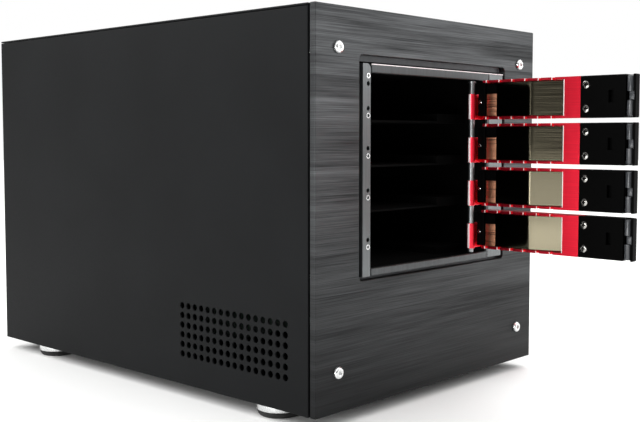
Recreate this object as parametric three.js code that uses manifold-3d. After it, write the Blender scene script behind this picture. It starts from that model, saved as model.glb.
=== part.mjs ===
// A desktop network storage box: a steel case on four feet with a thick front panel, and in the
// panel's opening a cage of four drive bays, each closed by a hinged door. The doors stand open.
// Millimetres. x runs left to right, y from the front panel's face to the back, z up from the
// table. The whole group is then moved so that its origin is at the middle of its footprint.
import * as THREE from "three";
import { mergeVertices } from "three/addons/utils/BufferGeometryUtils.js";
import Module from "manifold-3d";

const wasm = await Module();
wasm.setup();

// Case
const WIDTH = 225;
const DEPTH = 336.5;
const PANEL_HEIGHT = 231.5;
const PANEL_THICK = 4;
const FOOT_HEIGHT = 8;
const SHEET = 1.2;
const GAP = 0.3;
const REAR_RECESS = 2;
const HALF = WIDTH / 2;
const BOTTOM = FOOT_HEIGHT;
const TOP = BOTTOM + PANEL_HEIGHT;
const SUB_FRONT_Y = PANEL_THICK + GAP;
const COVER_Y = SUB_FRONT_Y + SHEET + GAP;
const REAR_Y = DEPTH - REAR_RECESS;
const REAR_IN = REAR_Y - SHEET;
const INNER = HALF - SHEET - GAP;
const TRAY_LIP = 10;

// Opening in the front panel, and the drive cage in it
const OPENING = { x0: -75.5, x1: 76.2, z0: BOTTOM + 74, z1: BOTTOM + 205, corner: 3 };
const SUB_FRONT_LAP = { left: 2.4, right: 1.6, low: 1.4, high: 3.4 };
const CAGE = { x0: -72.5, x1: 74, z0: BOTTOM + 76, z1: BOTTOM + 200.3, y1: 165 };
const BEZEL_THICK = 3;
const STRIP_WIDTH = 6.8;
const COLUMN_WIDTH = 17.1;
const TOP_BAR = 5.3;
const BOTTOM_BAR = 4.5;
const BAR_SEAM = 1.1;
const STRIP_CHAMFER = 2;
const MARK_INSET = 2;
const STRIKE_RADIUS = 1.3;
const STRIKE_HEIGHTS = [97.6, 126.6, 151.2, 174.4, 188.7];
const PIPE_HEIGHTS = [93.4, 122.4, 146.7, 170.2, 193.2];
const PIPE_RADIUS = 1.2;
const DIVIDER_THICK = 1.4;
const SHELF = { y0: 30, y1: 150 };
const GUIDE_HEIGHT = 5;
const DRIVE_WIDTH = 104;
const BACKPLANE_Y = 153;
const SOCKET = { x0: -34, x1: 8, y0: 145, rise: 4, height: 6 };

// Doors. In a door's own frame the pin is the z axis, the door runs along -y and its inner side
// faces -x; z starts at the door's lower edge.
const BAYS = 4;
const DOOR_PITCH = 28.55;
const DOOR_HEIGHT = 25.6;
const DOOR_Z = BOTTOM + 83.7;
const HINGE_X = 40.8;
const HINGE_Y = 2.5;
const PIN_RADIUS = 1.9;
const BARREL_RADIUS = 2.7;
const BORE_RADIUS = 2.2;
const BARREL_SHARE = 0.65;
const DOOR_IN = 3.6;
const DOOR_OUT = 14.1;
const FLANGE = 1.6;
const WEB = 1.8;
const CHANNEL_START = 6;
const CHANNEL_END = 76.9;
const POCKET_START = 7.6;
const POCKET_END = 65.5;
const SILL_DROP = 5;
const LEAF = { x0: 0.5, near: 0.8, far: 2.4, overlap: 1 };
const NOTCH = { count: 6, start: 9.5, pitch: 9.7, half: 1.2, depth: 3.2 };
const PLATE = { start: 16.2, end: 63.7, inset: 0.6, thick: 1, margin: 0.5 };
const TONGUE = { start: 8.9, end: 16.8, inset: 0.1 };
const DOOR_END = 112.6;
const END_CORNER = { inner: 0.5, outer: 7 };
const END_SLOT = { start: 95.4, end: 98.5, half: 3.7, depth: 3 };
const LATCH_CENTRE = 108.7;
const LATCH_RADIUS = 2;
const LATCH_TRAVEL = 1.5;
const LATCH_DEPTH = 6;
const LATCH_NOTCH = { half: 2.7, depth: 3 };
const TAB = { half: 2.3, start: -0.2, margin: 1, gap: 0.4 };

// Side vents
const VENT = { columns: 16, rows: 6, pitch: 6.2, radius: 2.1, y: 23.8, z: BOTTOM + 19.9, sides: 6 };

// Feet and panel screws
const FOOT = { radius: 14.3, x: 96.3, front: 44.4, rear: 287.4, padHeight: 3.1 };
const SCREW = { radius: 3.6, proud: 2, inset: 18.6, margin: 23.5, shank: 1.8, hole: 2.1 };

// Inside and rear
const BOARD = { x0: -75, x1: 95, y0: 162, y1: 332, z: BOTTOM + 9, thick: 1.6 };
// Parts on the board: processor socket, two memory modules, heat sink, expansion connector.
const BOARD_PARTS = [
  { x0: 0, x1: 45, y0: 218, y1: 263, height: 4 },
  { x0: -40, x1: 90, y0: 180, y1: 185, height: 32 },
  { x0: -40, x1: 90, y0: 190, y1: 195, height: 32 },
  { x0: -55, x1: -25, y0: 230, y1: 260, height: 14 },
  { x0: -72, x1: -65, y0: 180, y1: 270, height: 11 },
];
const COOLER = {
  x0: -17, x1: 62, y0: 204, y1: 278, base: 6, fins: 10, pitch: 8.6, fin: 1.6, height: 38,
};
const SUPPLY = { x0: -105, x1: 20, y0: 232, z0: 160, z1: 223.5 };
const INLET = { x0: -97, x1: -69, z0: 167, z1: 187, depth: 18 };
const ROCKER = { x: -53, z: 177, width: 13, height: 19, tilt: 7 };
const FAN = { x: 64, z: 186, size: 80, depth: 25, bore: 38, hub: 16, blades: 7 };
const SHIELD = { x0: -60.5, x1: 98.5, z0: BOTTOM + 4.5, z1: BOTTOM + 49.5 };
const LAN = { x0: 41, x1: 74.6, z0: 18.9, z1: 34, width: 12.5, height: 9 };
const USB = { x0: -6.2, x1: 26.2, z0: 18.9, z1: 38, width: 13.2, height: 5.6 };
const SLOT = { x0: -92, x1: -78, z0: 22, z1: 126, lap: 2 };

const MATERIALS = {
  brushedBlack: metal(0x4a4a4c, 0.45),
  paintedBlack: paint(0x26272a),
  darkSteel: metal(0x303236, 0.5),
  greyMetal: metal(0x808386, 0.4),
  brightSteel: metal(0xc8cacc, 0.25),
  plainSteel: metal(0xa9abad, 0.4),
  redAnodised: metal(0xb81128, 0.35),
  blackPlastic: plastic(0x17181a, 0.5),
  greyPlastic: plastic(0x5d6064, 0.3),
  rubber: plastic(0x101010, 0.9),
  lens: plastic(0xdde6ea, 0.2),
  board: plastic(0x16361f, 0.5),
};

function metal(color, roughness) {
  return new THREE.MeshStandardMaterial({ color, roughness, metalness: 1 });
}

function paint(color) {
  return new THREE.MeshStandardMaterial({ color, roughness: 0.6, metalness: 0.2 });
}

function plastic(color, roughness) {
  return new THREE.MeshStandardMaterial({ color, roughness, metalness: 0 });
}

// A box between two corners.
function block(x0, x1, y0, y1, z0, z1) {
  const geometry = new THREE.BoxGeometry(x1 - x0, y1 - y0, z1 - z0);
  return geometry.translate((x0 + x1) / 2, (y0 + y1) / 2, (z0 + z1) / 2);
}

// A rectangle with round corners, as a shape or a hole.
function roundedRect(Kind, x0, x1, y0, y1, r) {
  const outline = new Kind();
  outline.absarc(x1 - r, y1 - r, r, 0, Math.PI / 2);
  outline.absarc(x0 + r, y1 - r, r, Math.PI / 2, Math.PI);
  outline.absarc(x0 + r, y0 + r, r, Math.PI, 1.5 * Math.PI);
  outline.absarc(x1 - r, y0 + r, r, 1.5 * Math.PI, 2 * Math.PI);
  return outline;
}

function polygon(points) {
  return new THREE.Shape(points.map(([x, y]) => new THREE.Vector2(x, y)));
}

// Prism of an outline drawn in x and z, from y0 to y1.
function prismY(shape, y0, y1, curveSegments = 4) {
  const settings = { depth: y1 - y0, bevelEnabled: false, curveSegments };
  const geometry = new THREE.ExtrudeGeometry(shape, settings);
  return geometry.rotateX(Math.PI / 2).translate(0, y1, 0);
}

// Prism of an outline drawn in x and y, from z0 to z1.
function prismZ(shape, z0, z1, curveSegments = 4) {
  const settings = { depth: z1 - z0, bevelEnabled: false, curveSegments };
  return new THREE.ExtrudeGeometry(shape, settings).translate(0, 0, z0);
}

// Rods along each axis.
function rodX(radius, x0, x1, y, z, sides) {
  const geometry = new THREE.CylinderGeometry(radius, radius, x1 - x0, sides);
  return geometry.rotateZ(Math.PI / 2).translate((x0 + x1) / 2, y, z);
}

function rodY(radius, y0, y1, x, z, sides) {
  const geometry = new THREE.CylinderGeometry(radius, radius, y1 - y0, sides);
  return geometry.translate(x, (y0 + y1) / 2, z);
}

function rodZ(radius, z0, z1, x, y, sides) {
  const geometry = new THREE.CylinderGeometry(radius, radius, z1 - z0, sides);
  return geometry.rotateX(Math.PI / 2).translate(x, y, (z0 + z1) / 2);
}

// A closed geometry as a solid, and a solid as a geometry.
function toSolid(geometry) {
  const bare = geometry.clone();
  bare.deleteAttribute("normal");
  bare.deleteAttribute("uv");
  const merged = mergeVertices(bare, 1e-4);
  const vertProperties = new Float32Array(merged.attributes.position.array);
  const triVerts = new Uint32Array(merged.index.array);
  return new wasm.Manifold(new wasm.Mesh({ numProp: 3, vertProperties, triVerts }));
}

function toGeometry(solid) {
  const mesh = solid.getMesh();
  const geometry = new THREE.BufferGeometry();
  const positions = new THREE.BufferAttribute(new Float32Array(mesh.vertProperties), 3);
  geometry.setAttribute("position", positions);
  geometry.setIndex(new THREE.BufferAttribute(new Uint32Array(mesh.triVerts), 1));
  geometry.computeVertexNormals();
  return geometry;
}

// The pieces joined, less the cuts.
function carve(pieces, cuts = []) {
  let solid = toSolid(pieces[0]);
  for (const piece of pieces.slice(1)) {
    solid = solid.add(toSolid(piece));
  }
  for (const cut of cuts) {
    solid = solid.subtract(toSolid(cut));
  }
  return toGeometry(solid);
}

function add(parent, name, material, geometry) {
  const mesh = new THREE.Mesh(geometry, material);
  mesh.name = name;
  parent.add(mesh);
  return mesh;
}

// Plate with round-cornered openings, standing across y.
function frontPanel(parent) {
  const outline = polygon([[-HALF, BOTTOM], [HALF, BOTTOM], [HALF, TOP], [-HALF, TOP]]);
  const { x0, x1, z0, z1, corner } = OPENING;
  outline.holes.push(roundedRect(THREE.Path, x0, x1, z0, z1, corner));
  const holes = screwPlaces().map(({ x, z }) => rodY(SCREW.hole, -1, PANEL_THICK + 1, x, z, 10));
  const plate = prismY(outline, 0, PANEL_THICK, 5);
  add(parent, "front_panel", MATERIALS.brushedBlack, carve([plate], holes));
}

function screwPlaces() {
  const x = HALF - SCREW.inset;
  const low = BOTTOM + SCREW.margin;
  const high = TOP - SCREW.margin;
  return [
    { tag: "top_left", x: -x, z: high },
    { tag: "top_right", x, z: high },
    { tag: "bottom_left", x: -x, z: low },
    { tag: "bottom_right", x, z: low },
  ];
}

// Round-headed screws with a socket in the head and a shank through the panel.
function panelScrews(parent) {
  const { radius, proud, shank } = SCREW;
  const profile = [
    [0, PANEL_THICK - 0.5], [shank, PANEL_THICK - 0.5], [shank, -0.05], [radius, -0.05],
    [radius, -proud * 0.7], [radius * 0.72, -proud], [1, -proud], [1, -proud + 0.8],
    [0, -proud + 0.8],
  ];
  const points = profile.map(([r, y]) => new THREE.Vector2(r, -y));
  for (const { tag, x, z } of screwPlaces()) {
    const geometry = new THREE.LatheGeometry(points, 12);
    const screw = add(parent, `panel_screw_${tag}`, MATERIALS.brightSteel, geometry);
    screw.rotation.x = Math.PI;
    screw.position.set(x, 0, z);
  }
}

// Sheet behind the panel, which shows in the gap between the panel and the cage.
function subFront(parent) {
  const side = INNER - GAP;
  const base = BOTTOM + SHEET + GAP;
  const roof = TOP - SHEET - GAP;
  const outline = polygon([[-side, base], [side, base], [side, roof], [-side, roof]]);
  const { x0, x1, z0, z1 } = OPENING;
  const { left, right, low, high } = SUB_FRONT_LAP;
  const hole = new THREE.Path();
  hole.moveTo(x0 + left, z0 + low);
  hole.lineTo(x0 + left, z1 - high);
  hole.lineTo(x1 - right, z1 - high);
  hole.lineTo(x1 - right, z0 + low);
  outline.holes.push(hole);
  const clear = screwPlaces().map(({ x, z }) => rodY(3, 0, 10, x, z, 8));
  const sheet = prismY(outline, SUB_FRONT_Y, SUB_FRONT_Y + SHEET);
  add(parent, "sub_front", MATERIALS.darkSteel, carve([sheet], clear));
}

// Two side panels, each with a grid of round vent holes near the front foot, and the top panel.
function coverPanels(parent) {
  const roof = TOP - SHEET;
  for (const [name, x] of [["side_panel_left", -HALF], ["side_panel_right", HALF - SHEET]]) {
    const holes = [];
    for (let column = 0; column < VENT.columns; column += 1) {
      for (let row = 0; row < VENT.rows; row += 1) {
        const y = VENT.y + column * VENT.pitch;
        const z = VENT.z + row * VENT.pitch;
        holes.push(rodX(VENT.radius, x - 1, x + SHEET + 1, y, z, VENT.sides));
      }
    }
    const sheet = block(x, x + SHEET, COVER_Y, DEPTH, BOTTOM, roof - GAP);
    add(parent, name, MATERIALS.paintedBlack, carve([sheet], holes));
  }
  const lid = block(-HALF, HALF, COVER_Y, DEPTH, roof, TOP);
  add(parent, "top_panel", MATERIALS.paintedBlack, lid);
}

// Floor sheet with a low lip up each side.
function baseTray(parent) {
  const lip = BOTTOM + TRAY_LIP;
  const inside = INNER - SHEET;
  const deck = BOTTOM + SHEET;
  const outline = polygon([
    [-INNER, BOTTOM], [INNER, BOTTOM], [INNER, lip], [inside, lip], [inside, deck],
    [-inside, deck], [-inside, lip], [-INNER, lip],
  ]);
  const tray = prismY(outline, COVER_Y, REAR_IN - GAP);
  add(parent, "base_tray", MATERIALS.darkSteel, tray);
}

// One arc-shaped slot of the fan grille, between two radii, in one quarter.
function grilleSlot(inner, outer, quarter) {
  const margin = (radius) => 2 / radius;
  const start = quarter * Math.PI / 2;
  const end = start + Math.PI / 2;
  const slot = new THREE.Path();
  slot.absarc(FAN.x, FAN.z, outer, start + margin(outer), end - margin(outer), false);
  slot.absarc(FAN.x, FAN.z, inner, end - margin(inner), start + margin(inner), true);
  slot.closePath();
  return slot;
}

// Rear sheet with the fan grille and the openings for the supply, the sockets and the slot.
function rearPanel(parent) {
  const base = BOTTOM + SHEET + GAP;
  const roof = TOP - SHEET - GAP;
  const outline = polygon([[-INNER, base], [INNER, base], [INNER, roof], [-INNER, roof]]);
  for (let quarter = 0; quarter < 4; quarter += 1) {
    outline.holes.push(grilleSlot(9, 21, quarter));
    outline.holes.push(grilleSlot(25, 37, quarter));
  }
  const windows = [
    block(SUPPLY.x0 + 4, SUPPLY.x1 - 4, REAR_IN - 1, DEPTH, SUPPLY.z0 + 4, SUPPLY.z1 - 4),
    block(SHIELD.x0, SHIELD.x1, REAR_IN - 1, DEPTH, SHIELD.z0, SHIELD.z1),
    block(SLOT.x0, SLOT.x1, REAR_IN - 1, DEPTH, SLOT.z0, SLOT.z1),
  ];
  const sheet = prismY(outline, REAR_IN, REAR_Y, 6);
  add(parent, "rear_panel", MATERIALS.darkSteel, carve([sheet], windows));
}

// Four feet, each a metal shell on a rubber pad.
function feet(parent) {
  const { radius, padHeight } = FOOT;
  const shell = [
    [0, padHeight + GAP], [radius - 0.5, padHeight + GAP], [radius, padHeight + 1.1],
    [radius, BOTTOM - GAP], [0, BOTTOM - GAP],
  ];
  const pad = [[0, 0], [11.2, 0], [13, 0.9], [radius - 0.4, padHeight], [0, padHeight]];
  const turn = (profile) => {
    const points = profile.map(([r, z]) => new THREE.Vector2(r, z));
    return new THREE.LatheGeometry(points, 20).rotateX(Math.PI / 2);
  };
  const places = [
    ["front_left", -FOOT.x, FOOT.front], ["front_right", FOOT.x, FOOT.front],
    ["rear_left", -FOOT.x, FOOT.rear], ["rear_right", FOOT.x, FOOT.rear],
  ];
  for (const [tag, x, y] of places) {
    add(parent, `foot_shell_${tag}`, MATERIALS.brightSteel, turn(shell)).position.set(x, y, 0);
    add(parent, `foot_pad_${tag}`, MATERIALS.rubber, turn(pad)).position.set(x, y, 0);
  }
}

// Grey front edges of the cage: strip, two bars and the wide column beside the hinge.
function cageBezel(parent) {
  const { x0, x1, z0, z1 } = CAGE;
  const edge = x0 + STRIP_WIDTH;
  const column = x1 - COLUMN_WIDTH;
  const outline = polygon([
    [x0, z0], [edge, z0], [edge, z1 - STRIP_CHAMFER], [edge - STRIP_CHAMFER, z1], [x0, z1],
  ]);
  const markX = edge - MARK_INSET;
  const bore = (radius, height) => rodY(radius, -1, BEZEL_THICK + 1, markX, BOTTOM + height, 10);
  const holes = STRIKE_HEIGHTS.map((height) => bore(STRIKE_RADIUS, height));
  holes.push(...PIPE_HEIGHTS.map((height) => bore(PIPE_RADIUS + GAP, height)));
  const strip = carve([prismY(outline, 0, BEZEL_THICK)], holes);
  add(parent, "bezel_strip_left", MATERIALS.greyMetal, strip);
  const left = edge + BAR_SEAM;
  const right = column - GAP;
  const topBar = block(left, right, 0, BEZEL_THICK, z1 - TOP_BAR, z1);
  add(parent, "bezel_bar_top", MATERIALS.greyMetal, topBar);
  const bottomBar = block(left, right, 0, BEZEL_THICK, z0, z0 + BOTTOM_BAR);
  add(parent, "bezel_bar_bottom", MATERIALS.greyMetal, bottomBar);
  const wide = block(column, x1, 0, BEZEL_THICK, z0, z1);
  add(parent, "bezel_column_right", MATERIALS.greyMetal, wide);

  // Clear bar behind the strip, with one round stem into each lit hole.
  const bar = block(markX - 1.5, markX + 1.5, BEZEL_THICK + GAP, BEZEL_THICK + 2.5,
    BOTTOM + 90, BOTTOM + 196);
  const stems = PIPE_HEIGHTS.map((height) => {
    return rodY(PIPE_RADIUS, 0.1, BEZEL_THICK + 1, markX, BOTTOM + height, 10);
  });
  add(parent, "light_pipe", MATERIALS.lens, carve([bar, ...stems]));
}

// Side rails that carry a drive, on top of a shelf.
function guides(z) {
  const { x0, x1 } = CAGE;
  const left = x0 + STRIP_WIDTH + 1.5;
  return [
    block(x0 + 2 * SHEET, left, SHELF.y0, SHELF.y1, z - 0.5, z + GUIDE_HEIGHT),
    block(left + DRIVE_WIDTH, x1 - 2 * SHEET, SHELF.y0, SHELF.y1, z - 0.5, z + GUIDE_HEIGHT),
  ];
}

// Walls and shelves of the cage, with the board of drive connectors at their back.
function cage(parent) {
  const { x0, x1, z0, z1, y1 } = CAGE;
  const y0 = BEZEL_THICK + GAP;
  const left = x0 + SHEET + GAP;
  const right = x1 - SHEET - GAP;
  add(parent, "cage_side_left", MATERIALS.darkSteel, block(x0, x0 + SHEET, y0, y1, z0, z1));
  add(parent, "cage_side_right", MATERIALS.darkSteel, block(x1 - SHEET, x1, y0, y1, z0, z1));
  add(parent, "cage_top", MATERIALS.darkSteel, block(left, right, y0, y1, z1 - SHEET, z1));
  const floor = block(left, right, y0, y1, z0, z0 + SHEET);
  add(parent, "cage_bottom", MATERIALS.darkSteel, carve([floor, ...guides(z0 + SHEET)]));
  for (let shelf = 1; shelf < BAYS; shelf += 1) {
    const centre = DOOR_Z + shelf * DOOR_PITCH - (DOOR_PITCH - DOOR_HEIGHT) / 2;
    const low = centre - DIVIDER_THICK / 2;
    const high = centre + DIVIDER_THICK / 2;
    const plate = block(left, right, SHELF.y0, SHELF.y1, low, high);
    const name = `bay_divider_${BAYS - shelf}`;
    add(parent, name, MATERIALS.darkSteel, carve([plate, ...guides(high)]));
  }
  const board = block(left + 1, right - 1, BACKPLANE_Y, BACKPLANE_Y + 1.6, z0 + 3, z1 - 3);
  const sockets = [];
  for (let bay = 0; bay < BAYS; bay += 1) {
    const z = DOOR_Z + bay * DOOR_PITCH + SOCKET.rise;
    sockets.push(block(SOCKET.x0, SOCKET.x1, SOCKET.y0, BACKPLANE_Y + 1, z, z + SOCKET.height));
  }
  add(parent, "backplane", MATERIALS.board, carve([board, ...sockets]));
  const pin = rodZ(PIN_RADIUS, z0 + BOTTOM_BAR + GAP, z1 - TOP_BAR - GAP, HINGE_X, HINGE_Y, 12);
  add(parent, "hinge_pin", MATERIALS.plainSteel, pin);
}

// Red channel of a door: web, notched flanges and a land at the far end. A bent leaf runs from
// the barrel behind the pin to the web.
function doorChannel() {
  const height = DOOR_HEIGHT;
  const body = block(DOOR_IN, DOOR_OUT, -CHANNEL_END, -CHANNEL_START, 0, height);
  const top = height - FLANGE;
  const pockets = [
    block(0, DOOR_OUT - WEB, -POCKET_END, -POCKET_START, FLANGE, top),
    block(0, DOOR_IN + SILL_DROP, -POCKET_START - 1, 0, FLANGE, top),
  ];
  for (let notch = 0; notch < NOTCH.count; notch += 1) {
    const y = -(NOTCH.start + notch * NOTCH.pitch);
    pockets.push(block(0, DOOR_IN + NOTCH.depth, y - NOTCH.half, y + NOTCH.half, -1, height + 1));
  }
  const channel = carve([body], pockets);
  const barrelTop = height * BARREL_SHARE;
  const barrel = rodZ(BARREL_RADIUS, 0, barrelTop, 0, 0, 16);
  const root = -CHANNEL_START - LEAF.overlap;
  const leaf = block(LEAF.x0, DOOR_OUT, LEAF.near, LEAF.far, 0, barrelTop);
  const bend = block(DOOR_OUT - WEB, DOOR_OUT, root, LEAF.far, 0, barrelTop);
  return carve([channel, barrel, leaf, bend], [rodZ(BORE_RADIUS, -1, height + 1, 0, 0, 16)]);
}

// Bright sprung plate in the channel, with a short raised tongue beside the barrel.
function doorPlate() {
  const low = FLANGE + PLATE.margin;
  const high = DOOR_HEIGHT - FLANGE - PLATE.margin;
  const face = DOOR_IN + PLATE.inset;
  const plate = block(face, face + PLATE.thick, -PLATE.end, -PLATE.start, low, high);
  const front = DOOR_IN + TONGUE.inset;
  const top = DOOR_HEIGHT * BARREL_SHARE;
  const tongue = block(front, front + PLATE.thick, -TONGUE.end, -TONGUE.start, low, top);
  return carve([plate, tongue]);
}

// Black end of a door: round outer corner, shallow slot, and a groove for the latch.
function doorEndPiece() {
  const start = -(CHANNEL_END + GAP);
  const { inner, outer } = END_CORNER;
  const outline = new THREE.Shape();
  outline.moveTo(DOOR_IN, start);
  outline.absarc(DOOR_IN + inner, inner - DOOR_END, inner, Math.PI, 1.5 * Math.PI, false);
  outline.absarc(DOOR_OUT - outer, outer - DOOR_END, outer, 1.5 * Math.PI, 2 * Math.PI, false);
  outline.lineTo(DOOR_OUT, start);
  const middle = DOOR_HEIGHT / 2;
  const groove = LATCH_RADIUS + GAP;
  const floor = DOOR_IN + LATCH_DEPTH;
  const { half, depth } = END_SLOT;
  const wide = TAB.half + TAB.gap;
  const cuts = [
    block(0, DOOR_IN + depth, -END_SLOT.end, -END_SLOT.start, middle - half, middle + half),
    block(0, floor, -LATCH_CENTRE - groove, -LATCH_CENTRE + groove, -1, DOOR_HEIGHT + 1),
    block(0, floor, -DOOR_END + TAB.margin - TAB.gap, -LATCH_CENTRE, middle - wide, middle + wide),
  ];
  return carve([prismZ(outline, 0, DOOR_HEIGHT, 4)], cuts);
}

// Latch: an upright ridge with a round nose, notched at the middle round a square tab.
function doorLatch() {
  const nose = DOOR_IN + LATCH_RADIUS - GAP;
  const back = DOOR_IN + LATCH_DEPTH - LATCH_TRAVEL - 0.5;
  const outline = new THREE.Shape();
  outline.moveTo(back, LATCH_RADIUS);
  outline.absarc(nose, 0, LATCH_RADIUS, Math.PI / 2, 1.5 * Math.PI, false);
  outline.lineTo(back, -LATCH_RADIUS);
  const middle = DOOR_HEIGHT / 2;
  const ridge = prismZ(outline, 2 * GAP, DOOR_HEIGHT - 2 * GAP, 4).translate(0, -LATCH_CENTRE, 0);
  const reach = LATCH_RADIUS + 1;
  const { half, depth } = LATCH_NOTCH;
  const notch = block(0, DOOR_IN + depth, -LATCH_CENTRE - reach, -LATCH_CENTRE + reach,
    middle - half, middle + half);
  const tab = block(DOOR_IN, back, -DOOR_END + TAB.margin, -LATCH_CENTRE + TAB.start,
    middle - TAB.half, middle + TAB.half);
  return carve([carve([ridge], [notch]), tab]);
}

// The doors, numbered from the top, each in a group on its own stretch of the hinge pin.
function doors(parent) {
  for (let number = 1; number <= BAYS; number += 1) {
    const door = new THREE.Group();
    door.position.set(HINGE_X, HINGE_Y, DOOR_Z + (BAYS - number) * DOOR_PITCH);
    add(door, `door_${number}_channel`, MATERIALS.redAnodised, doorChannel());
    add(door, `door_${number}_plate`, MATERIALS.brightSteel, doorPlate());
    add(door, `door_${number}_end`, MATERIALS.blackPlastic, doorEndPiece());
    add(door, `door_${number}_latch`, MATERIALS.greyPlastic, doorLatch());
    parent.add(door);
  }
}

// Main board on its stand-offs, with the parts that stand on it, and the processor cooler.
function motherboard(parent) {
  const { x0, x1, y0, y1, z, thick } = BOARD;
  const deck = z + thick;
  const pieces = [block(x0, x1, y0, y1, z, deck)];
  for (const part of BOARD_PARTS) {
    pieces.push(block(part.x0, part.x1, part.y0, part.y1, deck - 0.5, deck + part.height));
  }
  for (const x of [x0 + 6, x1 - 6]) {
    for (const y of [y0 + 6, y1 - 10]) {
      pieces.push(rodZ(3, BOTTOM + SHEET + GAP, z + 0.5, x, y, 6));
    }
  }
  add(parent, "motherboard", MATERIALS.board, carve(pieces));

  const { base, fins, pitch, fin, height } = COOLER;
  const foot = deck + BOARD_PARTS[0].height + GAP;
  const cooler = [block(COOLER.x0, COOLER.x1, COOLER.y0, COOLER.y1, foot, foot + base)];
  for (let index = 0; index < fins; index += 1) {
    const x = COOLER.x0 + index * pitch;
    cooler.push(block(x, x + fin, COOLER.y0, COOLER.y1, foot + base - 1, foot + height));
  }
  add(parent, "cpu_cooler", MATERIALS.plainSteel, carve(cooler));
}

// Socket blocks on the main board and the shield plate round them.
function rearSockets(parent) {
  const y1 = REAR_IN - GAP;
  const jack = (x, z, width, height) => block(x, x + width, y1 - 15, DEPTH, z, z + height);
  const lanCuts = [];
  for (const x of [LAN.x0 + 2.15, LAN.x1 - 2.15 - LAN.width]) {
    lanCuts.push(jack(x, LAN.z0 + 3.1, LAN.width, LAN.height));
  }
  const lan = block(LAN.x0, LAN.x1, y1 - 21, y1, LAN.z0, LAN.z1);
  add(parent, "lan_ports", MATERIALS.plainSteel, carve([lan], lanCuts));
  const usbCuts = [];
  for (const x of [USB.x0 + 1.2, USB.x1 - 1.2 - USB.width]) {
    for (const z of [USB.z0 + 2.6, USB.z1 - 1.9 - USB.height]) {
      usbCuts.push(jack(x, z, USB.width, USB.height));
    }
  }
  const usb = block(USB.x0, USB.x1, y1 - 19, y1, USB.z0, USB.z1);
  add(parent, "usb_ports", MATERIALS.plainSteel, carve([usb], usbCuts));
  const window = (port) => {
    return block(port.x0 + 0.6, port.x1 - 0.6, REAR_IN - 1, DEPTH, port.z0 + 1.9, port.z1 - 1.2);
  };
  const plate = block(SHIELD.x0 + GAP, SHIELD.x1 - GAP, REAR_IN, REAR_IN + 0.8, SHIELD.z0 + GAP,
    SHIELD.z1 - GAP);
  const shield = carve([plate], [window(LAN), window(USB)]);
  add(parent, "io_shield", MATERIALS.plainSteel, shield);
  const blank = block(SLOT.x0 - SLOT.lap, SLOT.x1 + SLOT.lap, REAR_IN - GAP - SHEET, REAR_IN - GAP,
    SLOT.z0 - SLOT.lap, SLOT.z1 + SLOT.lap);
  add(parent, "slot_cover", MATERIALS.plainSteel, blank);
}

// Power supply with pockets in its rear face for the inlet and the rocker switch.
function powerSupply(parent) {
  const { x0, x1, y0, z0, z1 } = SUPPLY;
  const y1 = REAR_IN - GAP;
  const side = ROCKER.width / 2 + 0.6;
  const reach = ROCKER.height / 2 + 1.4;
  const pockets = [
    block(INLET.x0, INLET.x1, y1 - INLET.depth, DEPTH, INLET.z0, INLET.z1),
    block(ROCKER.x - side, ROCKER.x + side, y1 - 13, DEPTH, ROCKER.z - reach, ROCKER.z + reach),
  ];
  add(parent, "power_supply", MATERIALS.darkSteel, carve([block(x0, x1, y0, y1, z0, z1)], pockets));

  const face = REAR_Y - 0.2;
  const floor = face - 15;
  const wall = 2.2;
  const shell = block(INLET.x0 + GAP, INLET.x1 - GAP, y1 - INLET.depth + GAP, face,
    INLET.z0 + GAP, INLET.z1 - GAP);
  const cavity = block(INLET.x0 + wall, INLET.x1 - wall, floor, DEPTH, INLET.z0 + wall + 0.6,
    INLET.z1 - wall - 0.6);
  const hollow = carve([shell], [cavity]);
  const centre = (INLET.x0 + INLET.x1) / 2;
  const height = (INLET.z0 + INLET.z1) / 2;
  const pins = [-7, 0, 7].map((offset) => {
    const z = offset === 0 ? height - 2 : height + 2;
    return block(centre + offset - 1, centre + offset + 1, floor - 1, floor + 7, z - 2, z + 2);
  });
  add(parent, "power_inlet", MATERIALS.blackPlastic, carve([hollow, ...pins]));

  // Rocker with a shallow ridge across its face, tipped to its off side.
  const half = ROCKER.height / 2;
  const profile = polygon([[-half, -4], [half, -4], [half, 3], [0, 3.8], [-half, 3]]);
  const settings = { depth: ROCKER.width, bevelEnabled: false };
  const geometry = new THREE.ExtrudeGeometry(profile, settings).translate(0, 0, -ROCKER.width / 2);
  geometry.applyMatrix4(new THREE.Matrix4().makeBasis(
    new THREE.Vector3(0, 0, 1), new THREE.Vector3(0, 1, 0), new THREE.Vector3(-1, 0, 0)));
  const rocker = add(parent, "power_rocker", MATERIALS.blackPlastic, geometry);
  rocker.position.set(ROCKER.x, REAR_Y - 6, ROCKER.z);
  rocker.rotation.x = -ROCKER.tilt * Math.PI / 180;
}

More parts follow.
